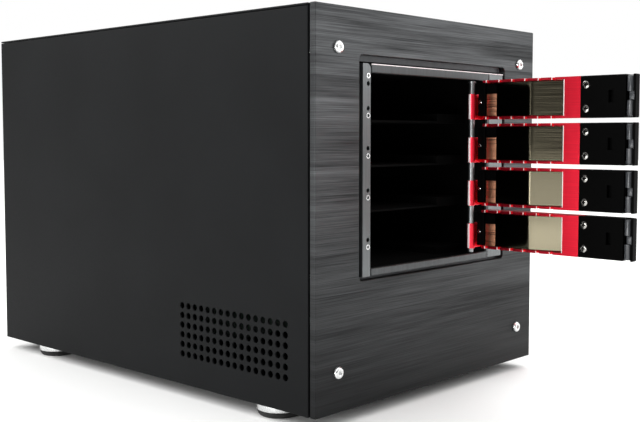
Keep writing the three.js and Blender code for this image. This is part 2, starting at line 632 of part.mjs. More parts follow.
// Rear fan: square frame with a hub plate on four arms, and the rotor behind the grille.
function fan(parent) {
  const { x, z, size, depth, bore, hub, blades } = FAN;
  const y1 = REAR_IN - GAP;
  const y0 = y1 - depth;
  const half = size / 2;
  const frame = carve([block(x - half, x + half, y0, y1, z - half, z + half)],
    [rodY(bore, y0 - 1, y1 + 1, x, z, 32)]);
  const arms = [
    rodY(hub + 1, y0, y0 + 3, x, z, 16),
    block(x - half + 1, x + half - 1, y0, y0 + 3, z - 2, z + 2),
    block(x - 2, x + 2, y0, y0 + 3, z - half + 1, z + half - 1),
  ];
  add(parent, "fan_frame", MATERIALS.blackPlastic, carve([frame, ...arms]));

  const pieces = [rodY(hub, y0 + 4, y1 - 2, 0, 0, 20)];
  for (let blade = 0; blade < blades; blade += 1) {
    const vane = block(hub - 3, bore - 2.2, -9, 9, -0.8, 0.8);
    vane.rotateX(50 * Math.PI / 180);
    vane.translate(0, (y0 + y1) / 2 + 1, 0);
    vane.rotateY(blade * 2 * Math.PI / blades);
    pieces.push(vane);
  }
  const rotor = add(parent, "fan_rotor", MATERIALS.blackPlastic, carve(pieces));
  rotor.position.set(x, 0, z);
}

const storageBox = new THREE.Group();
frontPanel(storageBox);
panelScrews(storageBox);
subFront(storageBox);
coverPanels(storageBox);
baseTray(storageBox);
rearPanel(storageBox);
feet(storageBox);
cageBezel(storageBox);
cage(storageBox);
doors(storageBox);
motherboard(storageBox);
rearSockets(storageBox);
powerSupply(storageBox);
fan(storageBox);

// The open doors reach out in front of the panel, so the footprint's middle is set by both.
const DOOR_REACH = DOOR_END - HINGE_Y;
storageBox.position.y = (DOOR_REACH - DEPTH) / 2;

export default storageBox;
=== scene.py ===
"""A desktop network storage box: a black steel case on four feet, a thick brushed front panel and,
in its opening, a cage of drive bays whose red and black doors stand open on one steel pin.

Every size is in metres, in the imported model's own frame: x runs to the right, y to the back and
z up from the table. Places are read from the frame's nodes.
"""
import math

import bmesh
import bpy
import numpy as np
from bpy.props import FloatProperty, FloatVectorProperty, IntProperty, PointerProperty
from mathutils import Matrix, Vector


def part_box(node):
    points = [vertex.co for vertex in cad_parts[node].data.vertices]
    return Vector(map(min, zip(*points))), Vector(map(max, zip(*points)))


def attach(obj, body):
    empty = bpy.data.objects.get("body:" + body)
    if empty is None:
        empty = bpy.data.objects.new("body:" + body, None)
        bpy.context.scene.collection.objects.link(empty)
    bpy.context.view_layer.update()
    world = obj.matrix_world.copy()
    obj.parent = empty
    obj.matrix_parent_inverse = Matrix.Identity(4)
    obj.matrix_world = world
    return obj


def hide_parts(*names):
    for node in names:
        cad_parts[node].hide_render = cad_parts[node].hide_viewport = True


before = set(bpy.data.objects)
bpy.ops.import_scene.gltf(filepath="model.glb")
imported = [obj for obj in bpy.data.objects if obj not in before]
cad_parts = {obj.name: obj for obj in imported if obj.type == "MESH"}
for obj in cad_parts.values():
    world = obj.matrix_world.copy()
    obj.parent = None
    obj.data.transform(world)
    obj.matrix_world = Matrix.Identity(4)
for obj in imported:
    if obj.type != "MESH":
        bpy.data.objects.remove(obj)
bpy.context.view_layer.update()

bl_info = {
    "name": "Network Storage Box",
    "version": (1, 0, 0),
    "blender": (4, 5, 0),
    "location": "View3D > Sidebar > Storage Box",
    "description": "Dresses the frame of a desktop network storage box and sets its studio",
    "category": "Object",
}

MM = 0.001
BAYS = (1, 2, 3, 4)
CORNERS = ("top_left", "top_right", "bottom_left", "bottom_right")
FEET = ("front_left", "front_right", "rear_left", "rear_right")
SIDE_GAPS = (3 * MM, 2.2 * MM)         # the panel's opening past the cage's face, left and right
HEIGHT_GAPS = (2 * MM, 4.7 * MM)       # and below and above it
OPENING_CORNER = 3 * MM
VENT_START = (18 * MM, 19.9 * MM)      # the first vent hole, from the side panel's low corner
TONGUE_WIDTH = 7.6 * MM
TONGUE_HEIGHT = 14.5 * MM
SPRING_DEPTH = 6.6 * MM                # how far a spring plate may fall into its channel
LATCH_RADIUS = 2 * MM
LATCH_CUT = 2.7 * MM                   # half the gap in a latch's bar, and in its groove's wall
SLOT_HALF = 3.7 * MM                   # half the height of the shallow slot in a door's end
SLOT_DEPTH = 3 * MM
GROOVE_DEPTH = 6 * MM
LAND_START = 65.5 * MM                 # the red land and the barrel notches, from the hinge pin
FIRST_NOTCH = 8.3 * MM
NOTCH_PITCH = 9.7 * MM
NOTCHES = 6


def linear(code):
    """An sRGB hex colour as linear red, green and blue."""
    channels = np.array([int(code[i:i + 2], 16) for i in (1, 3, 5)]) / 255
    low = channels / 12.92
    high = ((channels + 0.055) / 1.055) ** 2.4
    return tuple(float(value) for value in np.where(channels <= 0.04045, low, high))


def length(name, description, default_mm):
    """A size property, given in millimetres and kept in metres."""
    return FloatProperty(name=name, description=description, default=default_mm * MM,
                         min=0, unit="LENGTH", precision=5)


def colour(name, description, code):
    """A colour property from an sRGB hex code."""
    return FloatVectorProperty(name=name, description=description, subtype="COLOR",
                               default=linear(code), min=0, max=1)


class StorageBoxSizes(bpy.types.PropertyGroup):
    """Sizes that the frame leaves open."""
    panel_edge: length("Panel edge", "Rounding of the front panel's edges", 0.5)
    sheet_edge: length("Sheet edge", "Rounding of the case's folded edges", 0.5)
    vent_hole: length("Vent hole", "Diameter of a vent hole", 4.1)
    vent_pitch: length("Vent pitch", "Distance between vent holes", 6.2)
    vent_columns: IntProperty(name="Vent columns", description="Holes along the vent", default=16)
    vent_rows: IntProperty(name="Vent rows", description="Holes up the vent", default=6)
    ring_diameter: length("Light ring", "Outer diameter of a light ring on the strip", 3.2)
    brush_line: length("Brush line", "Width of a brushed line in the front panel", 0.35)
    coat_grain: length("Coat grain", "Width of a bump in the powder coat", 0.7)


class StorageBoxColours(bpy.types.PropertyGroup):
    """Colours of the finishes."""
    panel: colour("Panel", "Brushed and black anodised aluminium", "#3a3b3c")
    cover: colour("Cover", "Black powder coat", "#101112")
    inside: colour("Inside", "Black coated sheet inside", "#050505")
    bezel: colour("Bezel", "Grey satin aluminium of the cage's face", "#6a6d6e")
    red: colour("Red", "Red anodised aluminium of the doors", "#e7253a")
    spring: colour("Spring", "Nickel plated spring plate", "#77715f")
    tongue: colour("Tongue", "Bronze tongue of the spring plate", "#e2a07e")
    plastic: colour("Plastic", "Moulded black plastic", "#030303")


class StorageBoxStudio(bpy.types.PropertyGroup):
    """Camera and light."""
    camera_place: FloatVectorProperty(name="Camera", description="Place of the camera",
                                      default=(-0.50445, -0.48481, 0.16594), unit="LENGTH")
    camera_yaw: FloatProperty(name="Yaw", description="Camera turn about the upright axis",
                              default=math.radians(-46.80), unit="ROTATION")
    camera_pitch: FloatProperty(name="Pitch", description="Camera tilt below the horizon",
                                default=math.radians(-3.61), unit="ROTATION")
    lens: FloatProperty(name="Lens", description="Focal length in millimetres", default=55.32)
    shift: FloatProperty(name="Shift", description="Upward shift of the lens", default=-0.0192)
    overhead: FloatProperty(name="Overhead", description="Brightness overhead", default=1.7)
    surround: FloatProperty(name="Surround", description="Share of the overhead brightness that "
                            "is left at the horizon", default=0.04)
    side_power: FloatProperty(name="Panel light", description="Watts of the softbox that faces "
                              "the front panel", default=7.5)
    rear_power: FloatProperty(name="Rear light", description="Watts of the softbox behind the "
                              "left side", default=20)
    door_power: FloatProperty(name="Door light", description="Watts of the low softbox that the "
                              "doors' red ends reflect", default=0.85)
    hinge_power: FloatProperty(name="Hinge light", description="Watts of the narrow softbox that "
                               "the hinge barrels reflect", default=5)
    edge_power: FloatProperty(name="Edge light", description="Watts of the softbox above the "
                              "right side", default=6)


# ---------------------------------------------------------------- materials

def add_node(tree, kind, inputs=None, **settings):
    """Add a node. Settings are its properties; an input is a value or another node's socket."""
    made = tree.nodes.new(kind)
    for name, value in settings.items():
        setattr(made, name, value)
    for name, value in (inputs or {}).items():
        if isinstance(value, bpy.types.NodeSocket):
            tree.links.new(value, made.inputs[name])
        else:
            made.inputs[name].default_value = value
    return made


def start_material(name, base, metallic, roughness, extra=None):
    """A named material with its shader set and a node for its coordinates."""
    material = bpy.data.materials.new(name)
    material.use_nodes = True
    tree = material.node_tree
    values = {"Base Color": (*base, 1), "Metallic": metallic, "Roughness": roughness}
    for key, value in (values | (extra or {})).items():
        tree.nodes["Principled BSDF"].inputs[key].default_value = value
    add_node(tree, "ShaderNodeTexCoord")
    return material


def place_on(material):
    """The material's object coordinates."""
    return material.node_tree.nodes["Texture Coordinate"].outputs["Object"]


def shade(base, factor):
    """A colour made lighter or darker, with full alpha."""
    return (*(min(1, channel * factor) for channel in base), 1)


def drive(material, pattern, tones=None, roughness=None, bump=None):
    """Let a pattern change a material's surface. Tones are two places on the pattern with their
    colours, roughness is its value where the pattern is low and where it is high, and bump is a
    strength and a depth in metres."""
    tree = material.node_tree
    shader = tree.nodes["Principled BSDF"]
    if tones:
        ramp = add_node(tree, "ShaderNodeValToRGB", {"Fac": pattern})
        for element, (position, tone) in zip(ramp.color_ramp.elements, tones):
            element.position, element.color = position, tone
        tree.links.new(ramp.outputs[0], shader.inputs["Base Color"])
    if roughness:
        spread = add_node(tree, "ShaderNodeMapRange", {
            "Value": pattern, "From Min": 0.3, "From Max": 0.7, "To Min": roughness[0],
            "To Max": roughness[1]})
        tree.links.new(spread.outputs[0], shader.inputs["Roughness"])
    if bump:
        relief = add_node(tree, "ShaderNodeBump", {"Height": pattern, "Strength": bump[0],
                                                   "Distance": bump[1]})
        tree.links.new(relief.outputs[0], shader.inputs["Normal"])


def grain(material, size, detail, softness=0.5, **driven):
    """Give a material a grain of a size in metres and let it drive the surface. Three sizes draw
    it out along x, y and z, as brushing and rolling do, and 1 leaves an axis smooth."""
    tree, where, scale = material.node_tree, place_on(material), 1
    if isinstance(size, tuple):
        where = add_node(tree, "ShaderNodeMapping", {
            "Vector": where, "Scale": [1 / one for one in size]}).outputs[0]
    else:
        scale = 1 / size
    pattern = add_node(tree, "ShaderNodeTexNoise", {
        "Vector": where, "Scale": scale, "Detail": detail, "Roughness": softness}).outputs[0]
    drive(material, pattern, **driven)
    return pattern


def brushed_anodised_aluminium():
    """Aluminium brushed along x, then anodised black: long fine lines that catch the light in
    bands, and a soft sheen. Light and shade are painted into its colour as well: lighter at
    the top and darker towards the bottom."""
    base = tuple(bpy.context.scene.storage_colours.panel)
    line = bpy.context.scene.storage_sizes.brush_line
    material = start_material("brushed black anodised aluminium", base, 1, 0.4,
                              {"Anisotropic": 0.5})
    tree = material.node_tree
    lines = grain(material, (60 * MM, 1, line), 4, 0.6, bump=(0.25, 0.08 * MM))
    # Broad bands: groups of strokes 8 mm high, drawn wide enough to show at arm's length.
    bands = grain(material, (200 * MM, 1, 8 * MM), 5, 0.65)
    both = add_node(tree, "ShaderNodeMix", {0: 0.5, 2: lines, 3: bands}).outputs[0]
    drive(material, both, ((0.38, shade(base, 0.42)), (0.64, shade(base, 2.6))), (0.5, 0.36))
    # Painted light and shade: lower down the colour is mixed towards a darker grey, so the plate
    # is painted lighter at the top and darker towards the bottom.
    height = add_node(tree, "ShaderNodeSeparateXYZ", {"Vector": place_on(material)}).outputs["Z"]
    low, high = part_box("front_panel")
    painted_shade_by_height = add_node(tree, "ShaderNodeMapRange", {
        "Value": height, "From Min": low[2], "From Max": low[2] + 0.62 * (high[2] - low[2]),
        "To Min": 0.1, "To Max": 0.9}).outputs[0]
    target = tree.nodes["Principled BSDF"].inputs["Base Color"]
    painted_shade_mix = add_node(tree, "ShaderNodeMix", {0: painted_shade_by_height, 6: shade(base, 0.28),
                                             7: target.links[0].from_socket}, data_type="RGBA")
    tree.links.new(painted_shade_mix.outputs[2], target)
    return material


def powder_coated_steel():
    """Sheet steel with a baked black powder coat: a fine orange-peel grain that breaks up the
    reflections, drawn a little coarser than real so that it shows."""
    base = tuple(bpy.context.scene.storage_colours.cover)
    material = start_material("black powder coated steel", base, 0, 0.52,
                              {"Specular IOR Level": 0.08})
    grain(material, bpy.context.scene.storage_sizes.coat_grain, 2, roughness=(0.46, 0.6),
          bump=(0.3, 0.06 * MM))
    grain(material, 60 * MM, 3, tones=((0.35, shade(base, 0.88)), (0.68, shade(base, 1.14))))
    return material


def coated_sheet(name, base, roughness, gloss):
    """Thin steel sheet dipped and baked: a dull coat with faint rolling streaks along y."""
    material = start_material(name, base, 0, roughness, {"Specular IOR Level": gloss})
    grain(material, (4 * MM, 80 * MM, 4 * MM), 3,
          tones=((0, shade(base, 0.7)), (1, shade(base, 1.3))), bump=(0.2, 0.05 * MM))
    return material


def satin_aluminium(name, base):
    """Bead-blasted and grey anodised aluminium edges of the cage: an even satin with a fine
    sparkle, and faint upright drawing lines from the extrusion."""
    material = start_material(name, base, 1, 0.45)
    grain(material, 0.4 * MM, 2, bump=(0.25, 0.04 * MM))
    grain(material, (0.8 * MM, 1, 60 * MM), 3,
          tones=((0.3, shade(base, 0.86)), (0.75, shade(base, 1.12))))
    return material


def turned_steel(name, base, roughness):
    """Plated steel turned on a lathe: close rings that glint round the head, rod or foot."""
    material = start_material(name, base, 1, roughness)
    grain(material, 1.2 * MM, 3, roughness=(roughness * 0.75, roughness * 1.4))
    grain(material, (1, 1, 0.3 * MM), 2, bump=(0.15, 0.03 * MM))
    return material


def painted_highlight_finish():
    """A pale, half matt metal with fine tool marks that paints highlights: thin strips of it stay
    bright from any side, where the red and grey edges catch the light."""
    base = linear("#f1e8e8")
    material = start_material("pale painted highlight metal", base, 0.25, 0.45)
    grain(material, 0.6 * MM, 3, tones=((0.3, shade(base, 0.8)), (0.7, shade(base, 1.05))),
          bump=(0.2, 0.03 * MM))
    return material


def zinc_plated_steel():
    """Zinc plated sheet and rod: cool grey metal with the soft spangle of the plating."""
    base = linear("#a9abac")
    material = start_material("zinc plated steel", base, 1, 0.36)
    spangle = add_node(material.node_tree, "ShaderNodeTexVoronoi", {
        "Vector": place_on(material), "Scale": 1 / (4 * MM)})
    drive(material, spangle.outputs["Color"], ((0, shade(base, 0.86)), (1, shade(base, 1.08))))
    grain(material, 0.8 * MM, 3, roughness=(0.28, 0.46))
    return material


def red_anodised_aluminium():
    """Extruded aluminium, brushed along the door and anodised red: a saturated metal whose
    edges turn pink where the light catches them."""
    base = tuple(bpy.context.scene.storage_colours.red)
    material = start_material("red anodised aluminium", base, 1, 0.34,
                              {"Coat Weight": 0.3, "Coat Roughness": 0.12})
    grain(material, (0.5 * MM, 30 * MM, 0.5 * MM), 3, roughness=(0.3, 0.38),
          tones=((0.3, shade(base, 0.9)), (0.7, shade(base, 1.06))))
    return material


def rolled_spring(name, base, roughness):
    """Cold rolled spring strip, plated: close to a mirror, with faint rolling lines along the
    strip that stretch each reflection."""
    material = start_material(name, base, 1, roughness)
    grain(material, (1, 50 * MM, 0.6 * MM), 3, roughness=(roughness * 0.8, roughness * 1.5),
          bump=(0.1, 0.03 * MM))
    return material


def moulded_plastic(name, base, roughness, grain_size, depth, gloss):
    """Injection moulded plastic from a spark-eroded mould: a fine even grain with a low sheen."""
    material = start_material(name, base, 0, roughness,
                              {"IOR": 1.54, "Specular IOR Level": gloss})
    grain(material, grain_size, 3, 0.6, bump=(0.35, depth),
          tones=((0.3, shade(base, 0.85)), (0.75, shade(base, 1.2))),
          roughness=(roughness * 0.85, min(1, roughness * 1.2)))
    return material


def moulded_rubber():
    """Moulded nitrile rubber: dull black with a dusty, slightly lighter bloom."""
    base = linear("#141414")
    material = start_material("moulded black rubber", base, 0, 0.8)
    grain(material, 3 * MM, 4, tones=((0, shade(base, 0.7)), (1, shade(base, 1.8))),
          bump=(0.3, 0.1 * MM))
    return material


def smoked_acrylic():
    """Moulded acrylic light pipe, unlit: smoke grey and slightly milky, with a polished end."""
    base = linear("#3a3d40")
    material = start_material("smoked moulded acrylic", base, 0, 0.12,
                              {"Transmission Weight": 0.25, "IOR": 1.49})
    grain(material, 2 * MM, 2, tones=((0, shade(base, 0.85)), (1, shade(base, 1))))
    return material


def solder_mask_laminate():
    """Glass fibre circuit board under green solder mask: a slight gloss, with the copper tracks
    showing as lighter right-angled lines."""
    base = linear("#14402a")
    material = start_material("green solder mask laminate", base, 0, 0.35)
    tree = material.node_tree
    tracks = add_node(tree, "ShaderNodeTexBrick", {
        "Vector": place_on(material), "Scale": 1 / (12 * MM), "Mortar Size": 0.04,
        "Color1": (*base, 1), "Color2": shade(base, 0.8), "Mortar": shade(base, 2.2)})
    tree.links.new(tracks.outputs[0], tree.nodes["Principled BSDF"].inputs["Base Color"])
    drive(material, tracks.outputs["Fac"], bump=(0.3, 0.05 * MM))
    return material


def painted_floor():
    """Studio floor: smooth white painted board with the faintest roller mottle."""
    base = linear("#fcfcfb")
    material = start_material("white painted floor", base, 0, 0.7)
    grain(material, 50 * MM, 3, tones=((0, shade(base, 0.985)), (1, shade(base, 1))))
    return material


FINISHES = {
    "panel": brushed_anodised_aluminium,
    "cover": powder_coated_steel,
    "inside": lambda: coated_sheet("black dipped sheet steel",
                                   tuple(bpy.context.scene.storage_colours.inside), 0.85, 0.1),
    "seam": lambda: coated_sheet("dark grey baked sheet steel", linear("#4b4d50"), 0.6, 0.5),
    "bezel": lambda: satin_aluminium("grey satin anodised aluminium",
                                     tuple(bpy.context.scene.storage_colours.bezel)),
    "bar": lambda: satin_aluminium("dark satin anodised aluminium", linear("#4f5152")),
    "turned": lambda: turned_steel("nickel plated turned steel", linear("#dcdddd"), 0.24),
    "drawn": lambda: turned_steel("drawn and ground steel rod", linear("#8b8d8e"), 0.34),
    # A darker, glossier copy of the nickel finish for the small screws in the doors.
    "dark screw": lambda: turned_steel("darker nickel plated screws", linear("#a2a09c"), 0.14),
    # The pale finish paints highlights on thin edges.
    "cut": painted_highlight_finish,
    "zinc": zinc_plated_steel,
    "red": red_anodised_aluminium,
    "spring": lambda: rolled_spring("nickel plated spring steel",
                                    tuple(bpy.context.scene.storage_colours.spring), 0.08),
    "tongue": lambda: rolled_spring("rolled phosphor bronze",
                                    tuple(bpy.context.scene.storage_colours.tongue), 0.3),
    "black plastic": lambda: moulded_plastic("moulded black ABS",
                                             tuple(bpy.context.scene.storage_colours.plastic),
                                             0.45, 0.5 * MM, 0.00005, 0.02),
    "grey plastic": lambda: moulded_plastic("glossy grey acetal", linear("#3a3c3f"),
                                            0.22, 1.5 * MM, 0.00001, 0.5),
    "rubber": moulded_rubber,
    "acrylic": smoked_acrylic,
    "board": solder_mask_laminate,
    "floor": painted_floor,
}
made_finishes = {}


def finish(name):
    """The material of this name, made once."""
    if name not in made_finishes:
        made_finishes[name] = FINISHES[name]()
    return made_finishes[name]


# ---------------------------------------------------------------- surfaces

def grid_part(points, around=False, along=False):
    """A surface on a grid of points, rows by columns. Along joins the last row to the first and
    around joins the last column to the first. Returns vertices and faces."""
    rows, columns = points.shape[:2]
    index = np.arange(rows * columns).reshape(rows, columns)
    if along:
        index = np.vstack([index, index[:1]])
    if around:
        index = np.hstack([index, index[:, :1]])
    quads = np.stack([index[:-1, :-1], index[1:, :-1], index[1:, 1:], index[:-1, 1:]], axis=-1)
    return points.reshape(-1, 3), quads.reshape(-1, 4)


def joined(*parts):
    """Several vertex and face arrays as one."""
    offsets = np.cumsum([0] + [len(vertices) for vertices, _ in parts[:-1]])
    vertices = np.vstack([vertices for vertices, _ in parts])
    faces = np.vstack([faces + offset for (_, faces), offset in zip(parts, offsets)])
    return vertices, faces


def smooth_flats(mesh, degrees=32):
    """Shade smoothly, with edges sharper than the angle kept crisp."""
    mesh.shade_smooth()
    mesh.set_sharp_from_angle(angle=math.radians(degrees))


def make_piece(name, part, look, body, replaces=()):
    """A named object from vertices and faces: doubles merged, empty faces dropped, open ends
    closed with a flat cap and normals turned outwards. It is then finished, ridden on its body
    and set in place of the nodes that it shows."""
    mesh = bpy.data.meshes.new(name)
    vertices, faces = part
    mesh.from_pydata(vertices.tolist(), [], faces.tolist())
    work = bmesh.new()
    work.from_mesh(mesh)
    bmesh.ops.remove_doubles(work, verts=work.verts, dist=1e-6)
    bmesh.ops.dissolve_degenerate(work, edges=work.edges, dist=1e-7)
    bmesh.ops.holes_fill(work, edges=[edge for edge in work.edges if edge.is_boundary])
    bmesh.ops.recalc_face_normals(work, faces=work.faces)
    work.to_mesh(mesh)
    work.free()
    smooth_flats(mesh)
    piece = bpy.data.objects.new(name, mesh)
    bpy.context.scene.collection.objects.link(piece)
    settle(piece, look, body, replaces)
    return piece


def settle(piece, look, body, replaces=()):
    """Give a piece its material and body, and hide the nodes that it stands for."""
    piece.data.materials.clear()
    piece.data.materials.append(finish(look))
    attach(piece, body)
    if replaces:
        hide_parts(*replaces)


def rounded_copy(node, look, body, radius, like=None):
    """A copy of a node's solid with its loose triangles merged and its sharp edges rounded.
    Nodes of the same shape can share the mesh of one that they are like, moved to their place."""
    like = like or node
    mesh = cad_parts[like].data.copy()
    mesh.name = f"{node}_rounded"
    mesh.transform(Matrix.Translation(corners_of(node)[0] - corners_of(like)[0]))
    work = bmesh.new()
    work.from_mesh(mesh)
    bmesh.ops.remove_doubles(work, verts=work.verts, dist=2e-6)
    bmesh.ops.dissolve_limit(work, angle_limit=math.radians(0.5), verts=work.verts,
                             edges=work.edges)
    work.to_mesh(mesh)
    work.free()
    piece = bpy.data.objects.new(mesh.name, mesh)
    bpy.context.scene.collection.objects.link(piece)
    bevel = piece.modifiers.new("rounded edges", "BEVEL")
    bevel.width = radius
    bevel.segments = 2
    bevel.limit_method = "ANGLE"
    bevel.angle_limit = math.radians(40)
    mesh.shade_smooth()
    settle(piece, look, body, (node,))
    even_faces(piece)


def toward(points, axis):
    """Points drawn with their height along z, turned so that it runs along y or z, or along the
    other way of x or y. Right-handed stays right-handed."""
    x, y, z = points[..., 0], points[..., 1], points[..., 2]
    turned = {"z": (x, y, z), "y": (y, z, x), "-y": (x, -z, y), "-x": (-z, y, x)}
    return np.stack(turned[axis], axis=-1)


def revolved(profile, centre, axis="z", sides=48, hexagon_rows=()):
    """A profile of radius and height turned round an axis through the centre. In the hexagon
    rows the circle becomes a hexagon: its radius divided by the cosine from the nearest flat."""
    profile = np.array(profile, dtype=float)
    angle = np.linspace(0, 2 * np.pi, sides, endpoint=False)
    radius = np.repeat(profile[:, :1], sides, axis=1)
    rows = list(hexagon_rows)
    radius[rows] = radius[rows] / np.cos(np.mod(angle, np.pi / 3) - np.pi / 6)
    height = np.repeat(profile[:, 1:], sides, axis=1)
    points = np.stack([radius * np.cos(angle), radius * np.sin(angle), height], axis=-1)
    return grid_part(toward(points, axis) + np.array(centre), around=True)


def arc(centre, radius, start, end, steps=5):
    """Points on an arc, angles in degrees, as rows of two coordinates."""
    angle = np.radians(np.linspace(start, end, steps))
    return np.stack([centre[0] + radius * np.cos(angle), centre[1] + radius * np.sin(angle)], -1)


def rounded_block(low, high, radius, steps=3):
    """A box with round edges: each point of a unit sphere times the radius, pushed out along its
    own signs by half the box less the radius, with a flat cap at each pole."""
    low, high = np.array(low, dtype=float), np.array(high, dtype=float)
    quarter = np.linspace(0, np.pi / 2, steps + 1)
    turn = np.concatenate([quarter + side * np.pi / 2 for side in range(4)])
    sign_x = np.repeat([1, -1, -1, 1], steps + 1)
    sign_y = np.repeat([1, 1, -1, -1], steps + 1)
    rise = np.concatenate([quarter - np.pi / 2, quarter])[:, None]
    sign_z = np.repeat([-1, 1], steps + 1)[:, None]
    unit = np.stack([np.cos(rise) * np.cos(turn), np.cos(rise) * np.sin(turn),
                     np.sin(rise) + 0 * turn], axis=-1)
    signs = np.stack([sign_x + 0 * rise, sign_y + 0 * rise, sign_z + 0 * sign_x], axis=-1)
    points = unit * radius + signs * ((high - low) / 2 - radius)
    poles = [np.repeat(ring.mean(axis=0, keepdims=True), points.shape[1], axis=0)[None]
             for ring in (points[0], points[-1])]
    points = np.concatenate([poles[0], points, poles[1]])
    return grid_part(points + (low + high) / 2, around=True)


def rounded_outline(a0, a1, b0, b1, radius, across, up):
    """A closed outline in two coordinates with round corners of nine points each. Its straight
    sides are divided into the given counts, so that two outlines match point by point."""
    corners = [((a0 + radius, b0 + radius), 180), ((a1 - radius, b0 + radius), 270),
               ((a1 - radius, b1 - radius), 0), ((a0 + radius, b1 - radius), 90)]
    arcs = [arc(centre, radius, start, start + 90, 9) for centre, start in corners]
    path = []
    for side, count in enumerate((across, up, across, up)):
        begin, finish_at = arcs[side][-1], arcs[(side + 1) % 4][0]
        share = np.linspace(0, 1, count + 1)[1:-1, None]
        path += [arcs[side], begin * (1 - share) + finish_at * share]
    return np.vstack(path)


def plain_outline(a0, a1, b0, b1, across, up):
    """A closed rectangle in two coordinates, its sides divided evenly, from the low corner."""
    a, b = np.linspace(a0, a1, across + 1)[:-1], np.linspace(b0, b1, up + 1)[:-1]
    return np.vstack([np.stack([a, b0 + 0 * a], -1), np.stack([a1 + 0 * b, b], -1),
                      np.stack([a1 + a0 - a, b1 + 0 * a], -1),
                      np.stack([a0 + 0 * b, b1 + b0 - b], -1)])


def carried(rows, normal):
    """Outlines with a level each, as one grid: the level is the x or y coordinate and the
    outline gives the other two."""
    column = {"x": 0, "y": 1}[normal]
    return np.stack([np.insert(outline, column, level, axis=1) for outline, level in rows])


def framed_plate(outer, opening, front, back, edge, normal="y"):
    """A plate round one opening. Outer and opening are functions of an inset that give matched
    outlines. The cross-section goes up the opening's wall, round its edge by a quarter circle,
    over the front, round the outer edge and down to the back, and is carried all the way round."""
    into = math.copysign(1, back - front)
    quarter = np.radians(np.linspace(0, 90, 4))
    rows = [(opening(0), back)]
    rows += [(opening(edge * (1 - math.cos(turn))), front + into * edge * (1 - math.sin(turn)))
             for turn in quarter]
    rows += [(outer(edge * (1 - math.cos(turn))), front + into * edge * (1 - math.sin(turn)))
             for turn in quarter[::-1]]
    rows.append((outer(0), back))
    return grid_part(carried(rows, normal), around=True, along=True)


def pierced_cells(cells, circles, front, back, chamfer, normal):
    """Plate cells with a round hole each. A cell goes from its rectangle over the front to the
    circle, down a small chamfer and the hole's wall, and out over the back to the rectangle.
    Cells is an array of closed outlines of 24 points and circles an array of centre and radius."""
    angle = np.radians(225 + np.arange(24) * 15)
    unit = np.stack([np.cos(angle), np.sin(angle)], axis=-1)
    into = math.copysign(1, back - front)
    centre, radius = circles[:, None, :2], circles[:, None, 2:]
    levels = [(cells, front), (centre + unit * (radius + chamfer), front),
              (centre + unit * radius, front + into * chamfer), (centre + unit * radius, back),
              (cells, back)]
    column = {"x": 0, "y": 1}[normal]
    stack = np.stack([np.insert(outline, column, level, axis=2) for outline, level in levels])
    count = cells.shape[0]
    index = np.arange(len(levels) * count * 24).reshape(len(levels), count, 24)
    following = np.roll(index, -1, axis=2)
    faces = np.stack([index[:-1], index[1:], following[1:], following[:-1]], axis=-1)
    return stack.reshape(-1, 3), faces.reshape(-1, 4)


# ---------------------------------------------------------------- pieces

def even_faces(piece):
    """Let each large flat face keep its own normal where it meets a rounded edge."""
    even = piece.modifiers.new("even faces", "WEIGHTED_NORMAL")
    even.keep_sharp = True
    even.weight = 100


def corners_of(node):
    """The node's lowest and highest corners as arrays."""
    low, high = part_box(node)
    return np.array(low), np.array(high)


def block_piece(node, look, radius, body="case"):
    """A piece that stands for a plain plate or bar of the frame, with its edges rounded."""
    low, high = corners_of(node)
    part = rounded_block(low, high, radius)
    even_faces(make_piece(f"{node}_finished", part, look, body, (node,)))


def front_panel_piece(edge):
    """The front panel: a framed plate between its outline and its opening, whose edge stands
    clear of the cage's face by the same margins as in the frame."""
    low, high = corners_of("front_panel")
    strip_low, strip_high = corners_of("bezel_strip_left")
    column_high = corners_of("bezel_column_right")[1]
    left, right = strip_low[0] - SIDE_GAPS[0], column_high[0] + SIDE_GAPS[1]
    floor, roof = strip_low[2] - HEIGHT_GAPS[0], strip_high[2] + HEIGHT_GAPS[1]
    outer = lambda inset: rounded_outline(low[0] + inset, high[0] - inset, low[2] + inset,
                                          high[2] - inset, 0.6 * MM, 12, 12)
    opening = lambda inset: rounded_outline(left - inset, right + inset, floor - inset,
                                            roof + inset, OPENING_CORNER + inset, 12, 12)
    part = framed_plate(outer, opening, low[1], high[1], edge)
    even_faces(make_piece("front_panel_plate", part, "panel", "case",
                                 ("front_panel",)))


def panel_screw_piece(corner):
    """A button-head screw: a low dome with a hexagon socket, turned about its own axis."""
    node = f"panel_screw_{corner}"
    low, high = corners_of(node)
    panel_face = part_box("front_panel")[0][1]
    proud = panel_face - low[1]
    centre = ((low[0] + high[0]) / 2, panel_face, (low[2] + high[2]) / 2)
    reach = (high[0] - low[0]) / 2
    socket = 1.15 * MM
    profile = [(0, proud - 1.3 * MM), (socket, proud - 1.2 * MM), (socket, proud - 0.2 * MM),
               (socket + 0.35 * MM, proud), (reach * 0.62, proud), (reach * 0.8, proud * 0.93),
               (reach * 0.93, proud * 0.72), (reach, proud * 0.4), (reach, 0.12 * MM),
               (reach * 0.97, 0.05 * MM), (0, 0.05 * MM)]
    part = revolved(profile, centre, "-y", 48, hexagon_rows=(1, 2))
    make_piece(f"{node}_head", part, "turned", "case", (node,))


